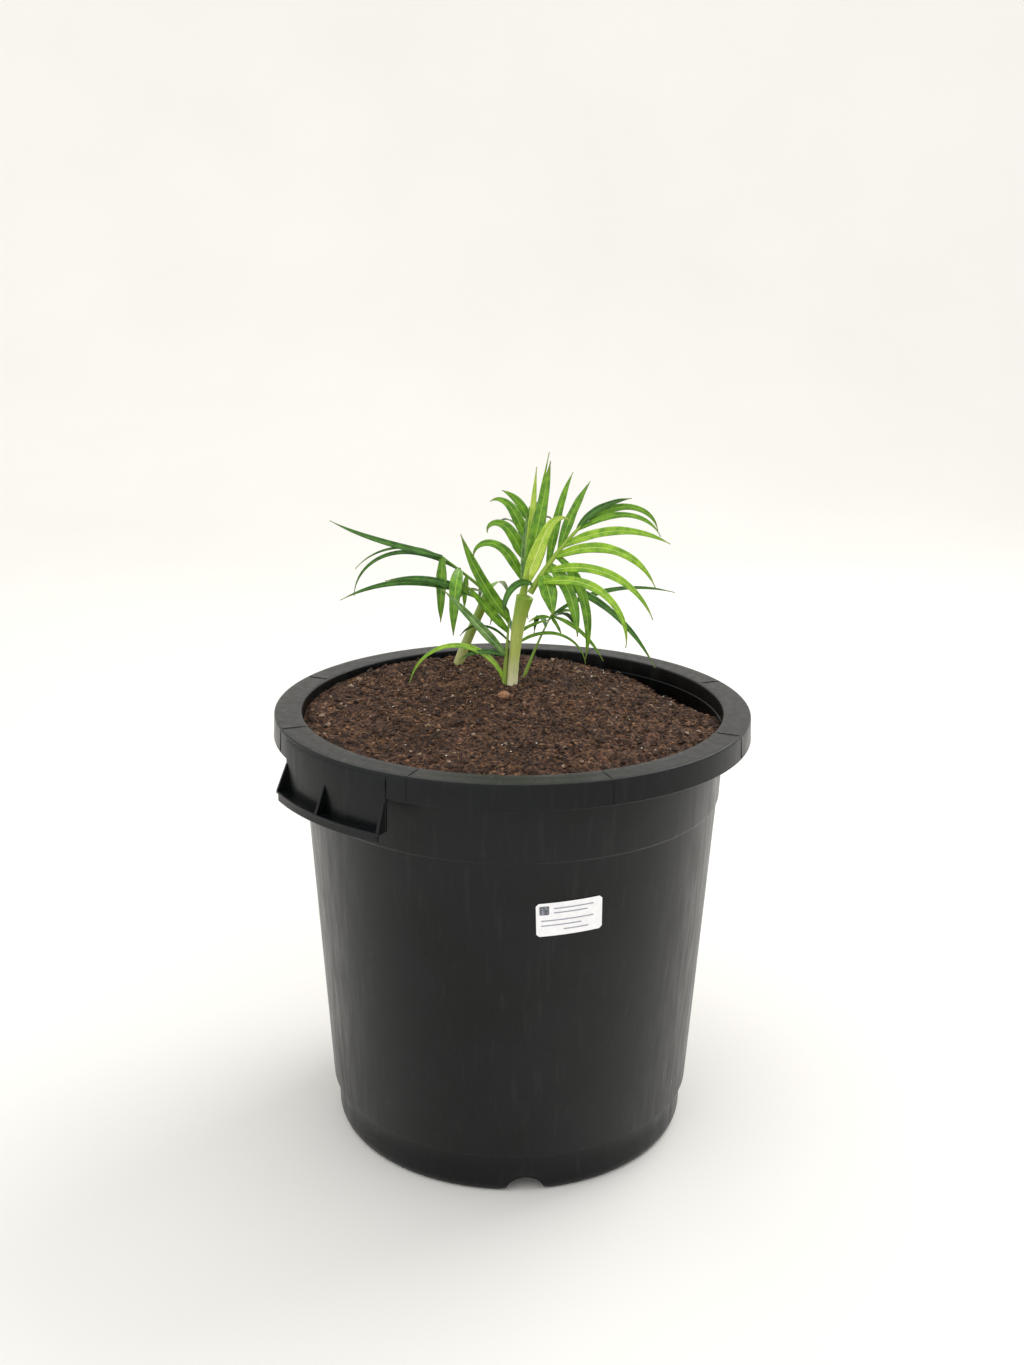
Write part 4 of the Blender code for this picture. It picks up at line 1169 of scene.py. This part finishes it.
class PALM_OT_crumbs(bpy.types.Operator):
    """Strew crumbs, bark chips, perlite, gravel and coir fibres over the mix"""
    bl_idname = "palm.crumbs"
    bl_label = "Crumbs and fibres"

    def execute(self, context):
        sizes = context.scene.palm_mix
        lively = random.Random(MIX_SEED)
        reach = inner_radius(POT_HEIGHT) - MIX_MARGIN
        heap = Heap()
        for _ in range(sizes.crumbs):
            radius = reach * math.sqrt(lively.random())
            place = polar(radius, lively.uniform(0, 360), 0)
            draw = lively.random()
            tint, size = 0, 1.6 * MM
            for kind, (kind_size, share) in enumerate(CRUMB_KINDS):
                if draw < share:
                    tint, size = kind, kind_size
                    break
                draw -= share
            size *= lively.uniform(0.5, 1.35)
            place.z = soil_top(place.x, place.y) + crumb_relief(place.x, place.y) + 0.25 * size
            crumb(heap, place, size, tint, lively, 0.4 if tint == BARK_CHIP else 0.8)
        loose = heap.make("mix_crumbs", [finish(name, broken_bit, name, dark, pale)
                                         for name, dark, pale in CRUMB_FINISHES])
        loose.data.shade_flat()
        wear(loose, None)
        fibres = Heap()
        for _ in range(sizes.fibres):
            fibre(fibres, reach, lively)
        coir = finish("coir", broken_bit, "coir", "#6b4a30", "#a98358")
        wear(fibres.make("mix_fibres", [coir]), None)
        return {"FINISHED"}


class PALM_OT_seed(bpy.types.Operator):
    """Set the half-buried seed husk in the mix"""
    bl_idname = "palm.seed"
    bl_label = "Seed"

    def execute(self, context):
        begin()
        bpy.ops.mesh.primitive_uv_sphere_add(segments=40, ring_count=24, radius=1)
        husk = bpy.context.object
        husk.name = "seed_husk"
        edit(husk)
        bpy.ops.mesh.bisect(plane_co=(0, 0, -SEED_SINK), plane_no=(0, 0, -1), clear_outer=True,
                            use_fill=True)
        bpy.ops.object.mode_set(mode="OBJECT")
        for vertex in husk.data.vertices:
            out = vertex.co.copy()
            rough = 1 + 0.05 * noise.noise(out * 3) + 0.03 * noise.noise(out * 9)
            vertex.co = Vector([a * r * MM * rough for a, r in zip(out, SEED_RADII)])
        husk.location = (SEED_PLACE[0] * MM, SEED_PLACE[1] * MM,
                         seat_level(SEED_PLACE) + GAP + SEED_LIFT)
        close(husk, [finish("seed_husk", broken_bit, "seed_husk", "#6d472e", "#a87d58", 0.7)])
        wear(husk, "seed")
        return {"FINISHED"}


class PALM_OT_stems(bpy.types.Operator):
    """Grow the main stem and the sucker, with the ridges of their leaf sheaths"""
    bl_idname = "palm.stems"
    bl_label = "Stems"

    def execute(self, context):
        rings = context.scene.palm_plant.rings
        young = finish("young_stem", leaf_sheath, "young_stem", "#ece9bd", "#c3cf6c", "#8fb03c")
        old = finish("sucker_stem", leaf_sheath, "sucker_stem", "#b9b878", "#86a040", "#5f8a2c")
        for name, foot, levels, skin in (("stem", STEM_FOOT, STEM_LEVELS, young),
                                         ("sucker", SUCKER_FOOT, SUCKER_LEVELS, old)):
            ground = seat_level(foot) + GAP
            points = [Vector((foot[0] * MM + lean * MM, foot[1] * MM, ground + up * MM))
                      for up, lean, _ in levels]
            path, radii = resampled(points, [radius * MM for _, _, radius in levels], rings)
            step = (path[-1] - path[-2]) * 0.9
            for share in STEM_CLOSE:
                path.append(path[-1] + step)
                radii.append(levels[-1][2] * MM * share)
            heap = Heap()
            limb(heap, path, radii, 0, STEM_SIDES, SHEATH_EDGE)
            wear(heap.make(f"{name}_sheaths", [skin]), name)
        return {"FINISHED"}


class PALM_OT_fronds(bpy.types.Operator):
    """Grow each frond's rib and its fine leaflets"""
    bl_idname = "palm.fronds"
    bl_label = "Fronds"

    def execute(self, context):
        sizes = context.scene.palm_plant
        letters = "".join(LEAF_TINTS)
        skins = []
        for tint, deep, _, line in LEAF_TINTS.values():
            bright = (*getattr(sizes, tint), 1)
            skins.append(finish(f"leaf_{tint}", leaf_blade, f"leaf_{tint}", colour(deep), bright,
                                colour(line)))
        skins.append(finish("rachis", leaf_sheath, "rachis", "#b4c455", "#b8c850", "#9dba44"))
        skins.append(finish("petiole", leaf_sheath, "petiole", "#8fae45", "#7ba238", "#6b9433"))
        rachis, petiole = len(letters), len(letters) + 1
        for number, (name, rib, leaflets, tints) in enumerate(FRONDS):
            heap = Heap()
            coarse = rib_path(rib)
            radii = [rib[-1] * MM * (1 - 0.7 * i / RIB_STATIONS) for i in range(RIB_STATIONS + 1)]
            path, radii = resampled(coarse, radii, RIB_RINGS)
            skin = rachis if name in YOUNG_FRONDS else petiole
            limb(heap, path, radii, skin, RIB_SIDES, RIB_EDGE)
            for i, ((share, *shape), tint) in enumerate(zip(leaflets, tints)):
                step = share * RIB_STATIONS
                low = min(int(step), RIB_STATIONS - 1)
                root = coarse[low].lerp(coarse[low + 1], step - low)
                blade(heap, root, shape, sizes.thickness, letters.index(tint), 100 * number + i)
            wear(heap.make(name.replace("frond", "leaves"), skins), name)
        return {"FINISHED"}


class PALM_OT_studio(bpy.types.Operator):
    """Set up the floor, the soft lights and the camera"""
    bl_idname = "palm.studio"
    bl_label = "Studio"

    def execute(self, context):
        sizes = context.scene.palm_studio
        begin()
        bpy.ops.mesh.primitive_grid_add(x_subdivisions=2, y_subdivisions=SWEEP_STEPS, size=1)
        sweep = bpy.context.object
        sweep.name = "studio_sweep"
        for vertex in sweep.data.vertices:
            run = (vertex.co.y + 0.5) * SWEEP_LENGTH - SWEEP_FRONT
            past = max(run - BEND_START, 0)
            bend = min(past / BEND_RADIUS, math.pi / 2)
            rise = max(past - BEND_RADIUS * math.pi / 2, 0)
            back = min(run, BEND_START) + BEND_RADIUS * math.sin(bend)
            vertex.co = (vertex.co.x * SWEEP_WIDTH, back, BEND_RADIUS * (1 - math.cos(bend)) + rise)
        sweep.data.shade_smooth()
        sweep.data.materials.append(finish("matt_paint", matt_paint, (*sizes.paint, 1)))
        world = bpy.data.worlds.new("sky")
        world.use_nodes = True
        connect(world.node_tree, world.node_tree.nodes["Background"],
                {"Color": colour("#fdfeff"), "Strength": sizes.sky})
        context.scene.world = world
        context.scene.view_settings.view_transform = "Standard"
        for name, place, size, share in LAMPS:
            bpy.ops.object.light_add(type="AREA", location=place)
            lamp = context.object
            lamp.name = name
            lamp.data.size = size
            lamp.data.energy = sizes.light * share
            aim = Vector(LAMP_AIM) - lamp.location
            lamp.rotation_euler = aim.to_track_quat("-Z", "Y").to_euler()
        bpy.ops.object.camera_add(location=CAMERA_PLACE)
        camera = context.object
        camera.rotation_euler = (Matrix.Rotation(math.radians(CAMERA_PITCH), 3, "X")
                                 @ Matrix.Rotation(CAMERA_ROLL, 3, "Z")).to_euler()
        camera.data.lens = sizes.lens
        camera.data.sensor_width = SENSOR_WIDTH
        camera.data.dof.use_dof = False
        context.scene.camera = camera
        return {"FINISHED"}


OPERATORS = (PALM_OT_pot, PALM_OT_grips, PALM_OT_label, PALM_OT_mix, PALM_OT_crumbs, PALM_OT_seed,
             PALM_OT_stems, PALM_OT_fronds, PALM_OT_studio)
SETTINGS = (("palm_pot", PALM_PG_pot), ("palm_label", PALM_PG_label), ("palm_mix", PALM_PG_mix),
            ("palm_plant", PALM_PG_plant), ("palm_studio", PALM_PG_studio))


class PALM_PT_panel(bpy.types.Panel):
    """Settings and steps of the seedling"""
    bl_label = "Palm seedling"
    bl_idname = "PALM_PT_panel"
    bl_space_type = "VIEW_3D"
    bl_region_type = "UI"
    bl_category = "Palm"

    def draw(self, context):
        for name, group in SETTINGS:
            box = self.layout.box()
            for setting in group.__annotations__:
                box.prop(getattr(context.scene, name), setting)
        for operator in OPERATORS:
            self.layout.operator(operator.bl_idname)


def register():
    for name, group in SETTINGS:
        bpy.utils.register_class(group)
        setattr(bpy.types.Scene, name, PointerProperty(type=group))
    for shown in (*OPERATORS, PALM_PT_panel):
        bpy.utils.register_class(shown)


def unregister():
    for shown in (PALM_PT_panel, *reversed(OPERATORS)):
        bpy.utils.unregister_class(shown)
    for name, group in reversed(SETTINGS):
        delattr(bpy.types.Scene, name)
        bpy.utils.unregister_class(group)


def main():
    register()
    bpy.ops.palm.pot()
    bpy.ops.palm.grips()
    bpy.ops.palm.label()
    bpy.ops.palm.mix()
    bpy.ops.palm.crumbs()
    bpy.ops.palm.seed()
    bpy.ops.palm.stems()
    bpy.ops.palm.fronds()
    bpy.ops.palm.studio()


if __name__ == "__main__":
    main()
